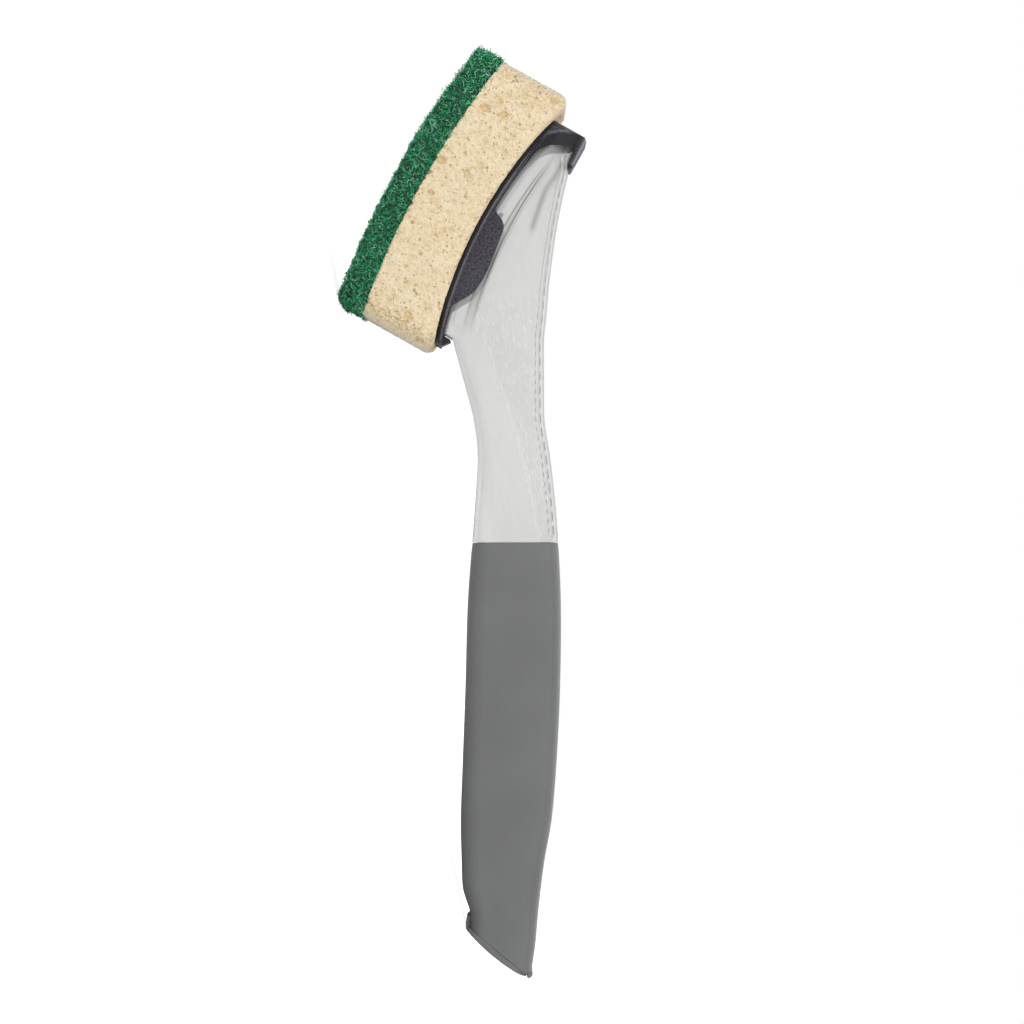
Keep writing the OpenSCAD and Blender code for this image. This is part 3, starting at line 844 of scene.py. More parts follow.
@dataclass
class HandleForm:
    """The handle's stations, in its own frame and in millimetres.

    A row is front x, front z, back x, back z, half width at the front, half width at the back,
    radius of the front edges and depth of the bead's step.
    """

    places: Places
    nose_w: float = 27.0
    nose_x: float = -34.1
    nose_r: float = 3.5
    nose_lift: float = 2.4
    nose_taper: float = 9.0
    nose_drop: float = 1.35
    head_x: float = -30.6
    head_back: float = 42.0
    sole_w: float = 34.0
    sole_edge_r: float = 2.4
    back_w: float = 22.0
    back_step: float = 0.2
    edge_r: float = 5.5
    length: float = 199.9
    hinge_z: float = 26.25
    mouth_w: float = 22.6
    mouth_tilt: float = math.radians(39.4)
    mouth_ends: Pair = (24.0, 0.8)
    mouth_gap: float = -0.07
    seam_depth: float = 2.8
    back_edge_r: float = 1.8
    bead_step: float = 0.9
    bead_height: float = 5.0
    bead_limits: Pair = (0.03, 0.45)
    groove: float = 0.11
    groove_edges: Path = ((1.0, 0.012), (0.9, 0.105))
    groove_edge_w: float = 0.013
    groove_cut: float = 0.3
    belly: float = 3.4
    crown: float = 0.4
    rows: np.ndarray = field(init=False)

    def __post_init__(self) -> None:
        """Work out the stations."""
        nose = [self._nose_row(math.radians(a)) for a in (0, 15, 30, 45, 60, 75)]
        head = self._smooth([self._head_row(*r) for r in (
            (self.head_x, self.head_x, -self.nose_drop, 0.10, 0), (-28.3, -28.3, -1.0, 0.22, 0.1),
            (-25.5, -25.5, 0.5, 0.34, 0.5), (-21, -21, 1.8, 0.50, 0.9), (-17, -17, 3.0, 0.64, 1),
            (-8, -8, 6.0, 0.84, 1), (3, 1, 9.5, 0.97, 1), (14, 9, 12.8, 1.00, 1), (25, 16, 16.0, 0.92, 0.8),
            (33, 21, 18.1, 0.74, 0.4))], 14)
        heel = [[0, 0, 1.8, 31.05, 14.8, 11.4, 2.2, 0], [1.5, 2.5, 3.6, 31.05, 14.5, 11.5, 2.4, 0]]
        neck = [[5.4, 3.4, 6.2, 31.05, 13.2, 11.6, 3.5, 0], [10.7, 4.9, 11.2, 31.05, 12.3, 11.6, 4.5, 0]]
        bar = [self._bar_row((x, z - depth / 2), (x, z + depth / 2), width) for x, z, depth, width in (
            (18.7, 19.1, 24.0, 23.6), (27.7, 20.3, 22.0, 23.0), (38.7, 21.7, 22.7, 23.0),
            (57.7, 22.1, 25.8, 24.0), (82.7, 21.8, 29.0, 25.0), (109.7, 21.3, 29.6, 25.0),
            (131.7, 20.4, 29.4, 25.0), (150.7, 19.3, 28.5, 24.5), (163.9, 18.3, 26.0, 24.0))]
        end = [self._bar_row((self.length + fx, fz), (self.length + bx, bz), self.mouth_w + wider)
               for fx, fz, bx, bz, wider in (
                   (-28.1, 5.6, -27.1, 30.1, 1), (-24.3, 6.5, -18.9, 29.2, 0.6), (-20.4, 7.8, -9.9, 28.4, 0.3),
                   (-17.5, 7.9, -3.6, 27.5, 0), (-16.1, 7.9, -1.4, 27.2, 0))]
        mouth = self._bar_row(*[self.mouth_point(a, self.mouth_gap) for a in self.mouth_ends], self.mouth_w)
        self.rows = np.array(nose + head + heel + self._smooth(neck + bar + end + [mouth], 12), float)

    def _nose_row(self, a: float) -> list[float]:
        """Station of the rounded nose at an angle round its edge.

        Args:
            a: the angle, from 0 at the tip.

        Returns:
            The row.
        """
        x = self.nose_x + self.nose_r * (1 - math.cos(a))
        e = 1 - math.sin(a)
        f = self.places.refill_to_handle(x, self.places.sole(x) + self.nose_lift * e)
        b = self.places.refill_to_handle(x, self.head_back - self.nose_drop - 0.1 * (self.head_x - x) - 0.3 * e)
        return [*f, *b, self.nose_w / 2 - 3 * e, self.nose_w / 2 - self.nose_taper / 2 - 2.5 * e,
                self.sole_edge_r - self.sole_edge_r / 2 * e, 0]

    def _head_row(self, xf: float, xb: float, rise: float, share: float, step: float) -> list[float]:
        """Station of the head, from its front and back places in the refill's frame.

        Args:
            xf: place of its front.
            xb: place of its back.
            rise: height of its back over head_back.
            share: how far its width is on the way from the nose's to the sole's.
            step: share of the bead's step.

        Returns:
            The row.
        """
        f = self.places.refill_to_handle(xf, self.places.sole(xf))
        b = self.places.refill_to_handle(xb, self.head_back + rise)
        narrow = self.nose_w - self.nose_taper
        back = narrow + (self.back_w - narrow) * min(1, 1.3 * share)
        return [*f, *b, (self.nose_w + (self.sole_w - self.nose_w) * share) / 2, back / 2, self.sole_edge_r,
                self.bead_step * step]

    def _bar_row(self, front: Pair, back: Pair, width: float) -> list[float]:
        """Station of the neck, the grip or the filler end."""
        return [*front, *back, width / 2, width / 2 - self.back_step, self.edge_r, 0]

    def mouth_point(self, a: float, n: float) -> Pair:
        """A point of the filler mouth: a from the hinge to the lip, n out of the mouth."""
        c, s = math.cos(self.mouth_tilt), math.sin(self.mouth_tilt)
        return self.length - a * s + n * c, self.hinge_z - a * c - n * s

    @staticmethod
    def _smooth(rows: Sequence[Sequence[float]], n: int) -> list[list[float]]:
        """Add stations on a smooth curve through the given ones.

        Args:
            rows: the given stations.
            n: stations for each stretch between two of them.

        Returns:
            All stations.
        """
        p = np.array(rows, float)
        last = len(p) - 1
        out = []
        for i in range(last):
            a, b, c, d = p[max(i - 1, 0)], p[i], p[i + 1], p[min(i + 2, last)]
            for t in np.arange(n) / n:
                out.append(list(0.5 * (2 * b + (c - a) * t + (2 * a - 5 * b + 4 * c - d) * t * t
                                       + (3 * b - a - 3 * c + d) * t ** 3)))
        return out + [list(p[last])]

    def row_at(self, x: float) -> np.ndarray:
        """Station whose front lies at x.

        Args:
            x: the place along the handle.

        Returns:
            The row.
        """
        i = int(np.searchsorted(self.rows[:, 0], x)) - 1
        a, b = self.rows[i], self.rows[i + 1]
        return a + (b - a) * (x - a[0]) / (b[0] - a[0])

    def outline(self, row: np.ndarray, inset: float) -> tuple[np.ndarray, np.ndarray]:
        """Closed section of a station.

        Args:
            row: the station.
            inset: how far inside the outer face it lies.

        Returns:
            Points in the handle's frame, and for each its share of the way from the sole (0) to the back's
            middle (1) and how much painted shade it gets in the groove over the bead.
        """
        depth = math.hypot(row[2] - row[0], row[3] - row[1])
        w, back, seam = row[4] - inset, row[5] - inset, depth - inset - self.seam_depth
        r = max(row[6] - inset, 0.8)
        foot = inset + r
        bead = float(np.clip((self.bead_height - row[6]) / (seam - foot), *self.bead_limits))
        front = [((w - r) * t, inset, 0.0) for t in (0.0, 0.35, 0.7)]
        front += [(w - r + r * math.sin(a), foot - r * math.cos(a), 0.02)
                  for a in np.linspace(0, math.pi / 2, 9)]
        q = np.concatenate([np.linspace(0, bead, 8)[1:], bead + np.linspace(0.006, 0.13, 16),
                            np.linspace(bead + 0.15, 1, 34)])
        rise = np.clip((q - bead) / self.groove, 0, 1)
        fall = np.clip((1 - q) / (0.4 - bead / 3), 0, 1)
        step = row[7] * rise * rise * (3 - 2 * rise) * fall * fall * (3 - 2 * fall)
        edges = sum(share * np.exp(-((q - bead - at) / self.groove_edge_w) ** 2)
                    for share, at in self.groove_edges)
        out = w + (back - w) * q + self.belly * q * q * (1 - q) - step - self.groove_cut * row[7] * edges
        side = np.stack([out, foot + (seam - foot) * q, 0.05 + 0.85 * q], -1)
        # painted shade in the groove over the bead, strongest along its two edges
        dark = min(1.0, row[7]) * np.minimum(1.0, edges + 0.4 * ((bead < q) & (q < bead + self.groove)))
        rb, top = max(self.back_edge_r - inset * 0.3, 0.6), depth - inset
        turn = top - self.crown - rb
        rear = [(back, seam + (turn - seam) * t, 0.92) for t in (0.33, 0.66)]
        rear += [(back - rb + rb * math.cos(a), turn + rb * math.sin(a), 0.95)
                 for a in np.linspace(0, math.pi / 2, 8)]
        rear += [((back - rb) * t, top - self.crown * t * t, 1.0) for t in (0.66, 0.33, 0.0)]
        mask = np.concatenate([np.zeros(len(front)), dark, np.zeros(len(rear))])
        half = np.column_stack([np.concatenate([front, side, rear]), mask])
        full = np.concatenate([half, half[-2:0:-1] * [-1, 1, 1, 1]])
        ux, uz = (row[2] - row[0]) / depth, (row[3] - row[1]) / depth
        return np.stack([row[0] + full[:, 1] * ux, full[:, 0], row[1] + full[:, 1] * uz], -1), full[:, 2:]


@dataclass
class Vessel:
    """The clear reservoir: tub, welded back and drip valve."""

    form: HandleForm
    finishes: Finishes
    clear_len: float = 65.0
    sleeve_inset: float = 1.7
    end: float = 159.9
    wall: float = 1.5
    seam_lines: tuple[tuple[float, float, float], ...] = ((1.3, 3.2, 1.2), (2.8, 1.5, 1.4))
    seam_start: float = -58.0
    dash_r: Pair = (0.09, 0.03)
    panel_edge: Path = ((-11, 7.9), (4.8, 13.6), (17.1, 17.8), (29.3, 21.7), (37.2, 23.9), (52.0, 27.2),
                        (65.0, 29.4))
    panel_start: float = -15.0
    panel_soft: float = 0.6
    # start, width and strength of the painted highlight along the panel's ridge
    ridge_start: float = -9.0
    ridge_w: float = 0.3
    ridge_level: float = 0.6
    # painted shade along creases and folds of the neck and nose: strength, width and path of each
    painted_crease_shade: tuple[tuple[float, float, Path], ...] = (
        (0.6, 0.9, ((-52.8, 36.6), (-48.6, 34.2), (-45.0, 31.5), (-41.1, 30.0), (-37.5, 28.8), (-33.0, 27.3))),
        (0.4, 0.5, ((-54.9, 28.8), (-52.5, 25.8), (-48.6, 23.5), (-45.0, 21.3), (-40.0, 18.6))),
        (0.35, 0.5, ((-57.0, 37.6), (-54.0, 38.6), (-50.0, 37.9))))

    def build(self) -> list[Piece]:
        """Build the vessel.

        Returns:
            Its pieces.
        """
        form, clear = self.form, self.clear_len
        rows = [(r, 0.0) for r in form.rows if r[0] < clear - 0.6]
        rows += [(form.row_at(clear - 0.5), 0.0), (form.row_at(clear - 0.1), 0.1)]
        hidden = [r for r in form.rows[::3] if clear + 1 < r[0] < self.end - 1]
        rows += [(r, self.sleeve_inset) for r in (form.row_at(clear), *hidden, form.row_at(self.end))]
        rings, shares = (np.array(part) for part in zip(*[form.outline(*r) for r in rows]))
        vessel = skinned("reservoir_shell", form.places, rings, self.finishes.clear, 50)
        self._mark(vessel, rings.reshape(-1, 3), shares.reshape(-1, 2))
        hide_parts("reservoir_tub", "reservoir_cover")
        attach(vessel, "handle")
        painted_node("drip_valve", self.finishes.valve)
        return [vessel, self._inner_wall(), self._weld_lines()]

    def _inner_wall(self) -> Piece:
        """Build the inner face of the vessel's wall, which shows through it.

        Returns:
            The piece.
        """
        form = self.form
        rows = [r for r in form.rows[8::2] if r[0] < self.end - 1] + [form.row_at(self.end)]
        insets = (self.wall if r[0] < self.clear_len else self.wall + self.sleeve_inset for r in rows)
        rings = np.array([form.outline(*pair)[0] for pair in zip(rows, insets)])
        inner = skinned("reservoir_inner_wall", form.places, rings, self.finishes.clear_inner, 50)
        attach(inner, "handle")
        return inner

    def _mark(self, vessel: Piece, points: np.ndarray, share: np.ndarray) -> None:
        """Store where the streaked side panel lies, with the painted shade along the groove and creases and the
        painted highlight along the ridge.

        Args:
            vessel: the vessel's outer shell.
            points: its points in the handle's frame.
            share: the share and the groove's painted shade of each point.
        """
        x, z = points[:, 0], points[:, 2]
        side = (share[:, 0] > 0.04) & (share[:, 0] < 0.93)
        border = np.interp(x, *np.array(self.panel_edge).T)
        panel = np.clip((z - border) / self.panel_soft + 0.5, 0, 1)
        set_attribute(vessel, "panel", panel * np.clip((x - self.panel_start) / 10, 0, 1) * side)
        # painted shade: the groove's, and along the creases and folds
        line = share[:, 1]
        for strength, width, path in self.painted_crease_shade:
            line = np.maximum(line, strength * np.exp(-(run_distance(x, z, path) / width) ** 2) * side)
        set_attribute(vessel, "line", line)
        # painted highlight along the ridge at the panel's border
        ridge = np.exp(-((z - border) / self.ridge_w) ** 2) * np.clip((x - self.ridge_start) / 5, 0, 1) * side
        set_attribute(vessel, "painted_ridge_highlight", ridge * self.ridge_level)

    def _weld_lines(self) -> Piece:
        """Build the dashed weld lines inside each long edge of the back.

        Returns:
            The piece.
        """
        form = self.form
        turn = np.arange(6) * math.pi / 3
        around = np.stack([np.zeros(6), np.cos(turn), np.sin(turn)], -1)
        thick, thin = self.dash_r
        radii = np.array([thin, *[thick] * 5, thin])[:, None, None]
        points: list[np.ndarray] = []
        faces: list[tuple[int, ...]] = []
        for depth, run, gap in self.seam_lines:
            path = np.array([self._seam_point(form.row_at(x), depth)
                             for x in np.arange(self.seam_start, self.clear_len - 0.6, 0.55)])
            length = np.concatenate([[0], np.cumsum(np.linalg.norm(np.diff(path, axis=0), axis=1))])
            start = 0.0
            while start + run < length[-1]:
                t = np.linspace(start, start + run, len(radii))
                dash = np.stack([np.interp(t, length, path[:, k]) for k in range(3)], -1)
                for sign in (-1, 1):
                    more, joined = skin((dash * [1, sign, 1])[:, None] + radii * around)
                    faces += [tuple(len(points) + i for i in f) for f in joined]
                    points += list(more)
                start += run + gap
        weld = make_object("weld_lines", form.places.handle(points), faces, self.finishes.weld)
        point_outwards(weld)
        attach(weld, "handle")
        return weld

    @staticmethod
    def _seam_point(row: np.ndarray, depth: float) -> tuple[float, float, float]:
        """A station's point on the side of the back, at a depth below it.

        Args:
            row: the station.
            depth: how far below the back.

        Returns:
            The point, in the handle's frame.
        """
        d = math.hypot(row[2] - row[0], row[3] - row[1])
        ux, uz = (row[2] - row[0]) / d, (row[3] - row[1]) / d
        return row[2] - ux * depth, row[5] + 0.02, row[3] - uz * depth


@dataclass
class Grip:
    """The grey grip: sleeve, filler collar, film hinge and flip lid."""

    form: HandleForm
    finishes: Finishes
    start: float = 65.2
    wall: float = 1.6
    scoop_half: float = 7.5
    scoop_reach: float = 4.4
    scoop_depth: float = 4.2
    scoop_corner: float = 3.0
    scoop_clear: float = 0.3
    web_half: float = 8.8
    web_ends: Path = ((-1, 0.7), (-0.97, 0.95), (-0.94, 1.0), (0.94, 1.0), (0.97, 0.95), (1, 0.7))
    web: Path = ((0, 0.62), (30, 0.62), (60, 0.62), (90, 0.62), (120, 0.62), (145, 0.62), (165, 0.64),
                 (195, 0.74), (210, 0.87), (225, 1.08), (240, 1.3), (255, 1.47), (273, 1.65))
    web_foot: Path = ((1.2, -1.6), (1.2, -0.15))
    thin_run: Pair = (0.85, 3.6)
    thin_by: float = 0.27
    thin_shift: float = 0.21

    def build(self) -> list[Piece]:
        """Build the grip.

        Returns:
            Its pieces.
        """
        form = self.form
        rows = [form.row_at(self.start)] + [r for r in form.rows if r[0] > self.start + 1]
        outer = np.array([form.outline(r, 0.12 if i == 0 else 0.0)[0] for i, r in enumerate(rows)])
        inner = np.array([form.outline(r, self.wall)[0] for r in rows])
        rings = np.concatenate([outer, inner[::-1], outer[:1]])
        sleeve = skinned("grip_sleeve_skin", form.places, rings, self.finishes.grip, capped=False, merge=1e-6)
        self._scoop(sleeve)
        smooth_shading(sleeve, 40)
        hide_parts("grip_sleeve")
        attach(sleeve, "handle")
        lid = copied_node("filler_lid", "flip_lid", self.finishes.grip)
        self._thin_end(lid)
        bevelled(lid, 0.12, 30)
        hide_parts("filler_lid")
        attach(lid, "lid")
        painted_node("filler_collar", self.finishes.grip)
        return [sleeve, lid, self._hinge_web()]

    def _thin_end(self, lid: Piece) -> None:
        """Thin the lid towards its hinge, so that its back runs into the bead.

        Args:
            lid: the lid.
        """
        form = self.form
        c, s = math.cos(form.mouth_tilt), math.sin(form.mouth_tilt)
        p = form.places.to_handle(vertex_values(lid))
        dx, dz = p[:, 0] - form.length, p[:, 2] - form.hinge_z
        a, n = -dx * s - dz * c, dx * c - dz * s
        full, reach = self.thin_run
        share = np.clip((reach - a) / (reach - full), 0, 1) ** 2
        a, n = a - self.thin_shift * share, n - self.thin_by * share * np.clip(n, 0, 1)
        p[:, 0], p[:, 2] = form.mouth_point(a, n)
        move_vertices(lid, form.places.handle(p))

    def _hinge_web(self) -> Piece:
        """Build the hinge: a bead on the lid's axis, joined to the sleeve's end by a thin web.

        Returns:
            The piece.
        """
        section = [(r * math.cos(math.radians(a)), r * math.sin(math.radians(a))) for a, r in self.web]
        rings = []
        for y, size in self.web_ends:
            ring = [self.form.mouth_point(a * size, n * size) for a, n in (*section, *self.web_foot)]
            rings.append([(x, y * self.web_half, z) for x, z in ring])
        web = skinned("film_hinge", self.form.places, np.array(rings), self.finishes.grip, 40)
        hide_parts("lid_hinge")
        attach(web, "handle")
        return web

    def _scoop(self, sleeve: Piece) -> None:
        """Cut the scoop that clears the lid's lip.

        Args:
            sleeve: the sleeve.
        """
        x, z = self.form.mouth_point(self.form.mouth_ends[0], 0.0)
        near, bottom, floor = x - self.scoop_reach, z - self.scoop_depth, z + self.wall + self.scoop_clear
        side = [(near + self.scoop_corner * (1 - math.cos(a)), floor - self.scoop_corner * (1 - math.sin(a)))
                for a in np.linspace(0, math.pi / 2, 7)] + [(x + 6, floor), (x + 6, bottom), (near, bottom)]
        rings = np.array([[(px, y, pz) for px, pz in side] for y in (-self.scoop_half, self.scoop_half)])
        cutter = skinned("scoop_cutter", self.form.places, rings, self.finishes.grip)
        cut = sleeve.modifiers.new("thumb_scoop", "BOOLEAN")
        cut.operation = "DIFFERENCE"
        cut.solver = "EXACT"
        cut.object = cutter
        applied(sleeve)
        bpy.data.objects.remove(cutter, do_unlink=True)


# ----------------------------------------------------------------------------------------------- refill


@dataclass
class PorousSponge:
    """The cream sponge: a dense skin with pores pressed into it.

    A kind of pore is its number, and its least and greatest radius in millimetres.
    """

    places: Places
    finishes: Finishes
    voxel: float = 0.48
    pores: tuple[tuple[int, float, float], ...] = (
        (16000, 0.30, 0.5), (1500, 0.5, 0.8), (420, 0.7, 1.2), (40, 1.2, 1.9))
    seed: int = 41
    reach: float = 1.3
    lobes: float = 0.25
    narrowing: float = 0.3
    rim: float = 0.42
    small_r: float = 0.6
    depths: Pair = (0.8, 0.6)
    roughness: float = 0.08
    # strengths of the painted shade in the pores and of the painted light on the ends
    pore_tone: float = 0.75
    cut_tone: float = 0.4

    def build(self) -> list[Piece]:
        """Build the sponge.

        Returns:
            The sponge, alone in a list.
        """
        sponge = copied_node("sponge", "cellulose_sponge_block", self.finishes.sponge)
        even_skin(sponge, self.voxel)
        points, normals = vertex_values(sponge), vertex_values(sponge, "normal")
        rng = np.random.default_rng(self.seed)
        sink, shade = self._press(points, rng)
        rough = rng.normal(0, self.roughness, len(points)) * MM
        points -= normals * np.clip(sink - rough, -self.roughness * MM, None)[:, None]
        move_vertices(sponge, points)
        # painted shade in the pores
        set_attribute(sponge, "pore", shade * self.pore_tone)
        # painted light, stronger towards both ends
        ends = np.abs(self.places.to_refill(points)[:, 0])
        set_attribute(sponge, "cut_edge", self.cut_tone * np.clip((ends - ends.max() + 1.5) / 0.9, 0, 1))
        smooth_shading(sponge)
        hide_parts("sponge")
        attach(sponge, "refill")
        return [sponge]

    def _press(self, points: np.ndarray, rng: np.random.Generator) -> tuple[np.ndarray, np.ndarray]:
        """Press the pores into the skin.

        Args:
            points: the skin's points.
            rng: source of the random draws.

        Returns:
            How deep each point sinks, in metres, and how much painted shade it gets.
        """
        tree = KDTree(len(points))
        for i, p in enumerate(points):
            tree.insert(p, i)
        tree.balance()
        sink, shade = np.zeros(len(points)), np.zeros(len(points))
        for number, low, high in self.pores:
            for _ in range(number):
                centre = points[rng.integers(len(points))]
                radius = rng.uniform(low, high) * MM
                lean = rng.normal(0, 1.3, 3) / radius
                grain = rng.normal(0, 1.0, 3)
                grain /= np.linalg.norm(grain)
                depth = self.depths[radius >= self.small_r * MM]
                # painted shade, more in wider pores
                dark = min(1.0, 0.1 + radius / (1.7 * MM))
                for _, i, distance in tree.find_range(Vector(centre), radius * self.reach):
                    away = points[i] - centre
                    along = abs(float(away @ grain)) / max(distance, 1e-9)
                    uneven = 1 + self.lobes * math.sin(float(away @ lean)) + self.narrowing * along
                    dip = min(1.0, max(0.0, (1 - distance / radius * uneven) / self.rim))
                    dip *= dip * (3 - 2 * dip)
                    sink[i] = max(sink[i], radius * dip * depth)
                    # painted shade, darkest on the pore's steep wall
                    shade[i] = max(shade[i], (0.5 * dip + 1.5 * dip * (1 - dip)) * dark)
        return sink, shade


class FibreTree(Wiring):
    """Geometry Nodes tree that scatters short bent fibres over a surface."""

    def __init__(self) -> None:
        """Build the tree: bent tubes, scattered over the surface, realized and given their material."""
        super().__init__(new_group(
            "scatter_fibres", "GeometryNodeTree",
            [("Geometry", "Geometry", None), ("Density", "Float", 1e6), ("Loop Radius", "Float", 0.002),
             ("Fibre Radius", "Float", 0.00014), ("Stand Off", "Float", 0.0004), ("Seed", "Int", 1),
             ("Material", "Material", None)],
            [("Geometry", "Geometry")]))
        given = self.node("NodeGroupInput").outputs
        section = self.node("GeometryNodeCurvePrimitiveCircle", Resolution=3, Radius=given["Fibre Radius"])
        kinds = self.node("GeometryNodeGeometryToInstance")
        for sweep, scale, turn in ((2.2, 1.0, 0.0), (3.6, 0.62, 0.5), (1.3, 1.5, 0.3)):
            arc = self.node("GeometryNodeCurveArc", Resolution=5, Start_Angle=0.0, Sweep_Angle=sweep,
                            Radius=self.calc("MULTIPLY", given["Loop Radius"], scale))
            back = self.calc("MULTIPLY", given["Loop Radius"], -scale * math.cos(sweep / 2) * 0.9)
            middle = self.node("GeometryNodeTransform", Geometry=arc.outputs["Curve"], Rotation=(turn, 0.2, 0),
                               Translation=self.node("ShaderNodeCombineXYZ", X=back).outputs[0])
            tube = self.node("GeometryNodeCurveToMesh", Fill_Caps=True, Curve=middle.outputs["Geometry"],
                             Profile_Curve=section.outputs["Curve"])
            self.feed(kinds.inputs["Geometry"], tube.outputs["Mesh"])
        scatter = self.node("GeometryNodeDistributePointsOnFaces", Mesh=given["Geometry"],
                            Density=given["Density"], Seed=given["Seed"]).outputs
        off = self.calc("MULTIPLY", self._random(-1.0, 1.0, 11), given["Stand Off"])
        spread = self.node("ShaderNodeVectorMath", operation="SCALE", Vector=scatter["Normal"], Scale=off)
        lift = self.node("GeometryNodeSetPosition", Geometry=scatter["Points"], Offset=spread.outputs[0])
        turn = self.node("FunctionNodeRotateRotation", rotation_space="LOCAL", Rotation=scatter["Rotation"],
                         Rotate_By=self._random((-1.2, -1.2, 0.0), (1.2, 1.2, 6.283), 23, "FLOAT_VECTOR"))
        place = self.node("GeometryNodeInstanceOnPoints", Pick_Instance=True, Points=lift.outputs["Geometry"],
                          Instance=kinds.outputs["Instances"], Instance_Index=self._random(0, 2, 31, "INT"),
                          Rotation=turn.outputs["Rotation"], Scale=self._random(0.65, 1.25, 37))
        # a random value for each fibre, which the fibre finish turns into painted highlights
        tone = self.node("GeometryNodeStoreNamedAttribute", data_type="FLOAT", domain="INSTANCE", Name="tone",
                         Geometry=place.outputs["Instances"], Value=self._random(0.0, 1.0, 43))
        real = self.node("GeometryNodeRealizeInstances", Geometry=tone.outputs["Geometry"])
        dress = self.node("GeometryNodeSetMaterial", Geometry=real.outputs["Geometry"],
                          Material=given["Material"])
        self.node("NodeGroupOutput", Geometry=dress.outputs["Geometry"])

    def _random(self, low: object, high: object, seed: int, kind: str = "FLOAT") -> Socket:
        """A random value for each point.

        Args:
            low: least value.
            high: greatest value.
            seed: seed of the draws.
            kind: type of the value.

        Returns:
            The value.
        """
        made = self.node("FunctionNodeRandomValue", data_type=kind, Seed=seed)
        ends = [s for s in made.inputs if s.enabled and s.name in ("Min", "Max")]
        ends[0].default_value, ends[1].default_value = low, high
        return next(s for s in made.outputs if s.enabled)

    def grow(self, surface: Piece, name: str, **values: object) -> Piece:
        """Grow fibres on a surface.

        Args:
            surface: the mesh that carries them.
            name: the new piece's name.
            values: inputs of the tree, written with underscores for spaces.

        Returns:
            The fibres as a plain mesh piece.
        """
        made = linked(name, surface.data.copy())
        modifier = made.modifiers.new("fibres", "NODES")
        modifier.node_group = self.tree
        for item in self.tree.interface.items_tree:
            key = item.name.replace(" ", "_")
            if item.in_out == "INPUT" and key in values:
                modifier[item.identifier] = values[key]
        applied(made)
        made.data.name = name
        return made


@dataclass
class ScouringPad:
    """The green nonwoven layer: a dark core under a mat of bent fibres."""

    places: Places
    finishes: Finishes
    pieces: int = 6
    density: float = 0.97e6
    quick_share: float = 0.25
    core_voxel: float = 0.9
    core_inset: float = 0.6
    core_waves: int = 14
    wave_height: float = 0.45
    seed: int = 7
    loop_r: float = 0.95
    fibre_r: float = 0.10
    stand_off: Pair = (0.5, 0.25)

    def build(self) -> list[Piece]:
        """Build the layer.

        Returns:
            Its pieces.
        """
        core = self._core()
        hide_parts("scour_pad")
        out = [core]
        tree = FibreTree()
        open_side = self._open_side(core)
        density = self.density * 1.0
        for k in range(self.pieces):
            deep = k % 2
            out.append(tree.grow(open_side, f"nonwoven_fibres_{k + 1}", Density=density, Seed=k + 3,
                                 Loop_Radius=self.loop_r * MM, Fibre_Radius=self.fibre_r * MM,
                                 Stand_Off=self.stand_off[deep] * MM,
                                 Material=(self.finishes.fibre, self.finishes.fibre_deep)[deep]))
        bpy.data.objects.remove(open_side, do_unlink=True)
        for piece in out:
            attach(piece, "refill")
        return out

    @property
    def up(self) -> Vector:
        """Direction from the layer to the sponge."""
        tilt = self.places.rest_tilt + self.places.head_tilt
        return Vector((math.sin(tilt), 0, math.cos(tilt)))

    def _core(self) -> Piece:
        """Build the core, uneven and set back wherever fibres cover it.

        Returns:
            The piece.
        """
        core = copied_node("scour_pad", "nonwoven_core", self.finishes.core)
        even_skin(core, self.core_voxel)
        points, normals = vertex_values(core), vertex_values(core, "normal")
        rng = np.random.default_rng(self.seed)
        waves = sum(np.sin(points @ rng.normal(0, 900 / (k + 1) ** 0.5, 3) + rng.uniform(0, 6))
                    for k in range(self.core_waves)) / 5
        free = np.clip(1.5 - 2 * (normals @ np.array(self.up)), 0, 1)
        points -= normals * ((self.core_inset + self.wave_height * waves) * MM * free)[:, None]
        move_vertices(core, points)
        smooth_shading(core)
        return core

    def _open_side(self, core: Piece) -> Piece:
        """Copy the core without the face that is glued to the sponge.

        Args:
            core: the layer's core.

        Returns:
            The copy, on which the fibres grow.
        """
        work = bmesh.new()
        work.from_mesh(core.data)
        up = self.up
        bmesh.ops.delete(work, geom=[f for f in work.faces if f.normal.dot(up) > 0.8], context="FACES")
        return from_bmesh(work, "open_side")


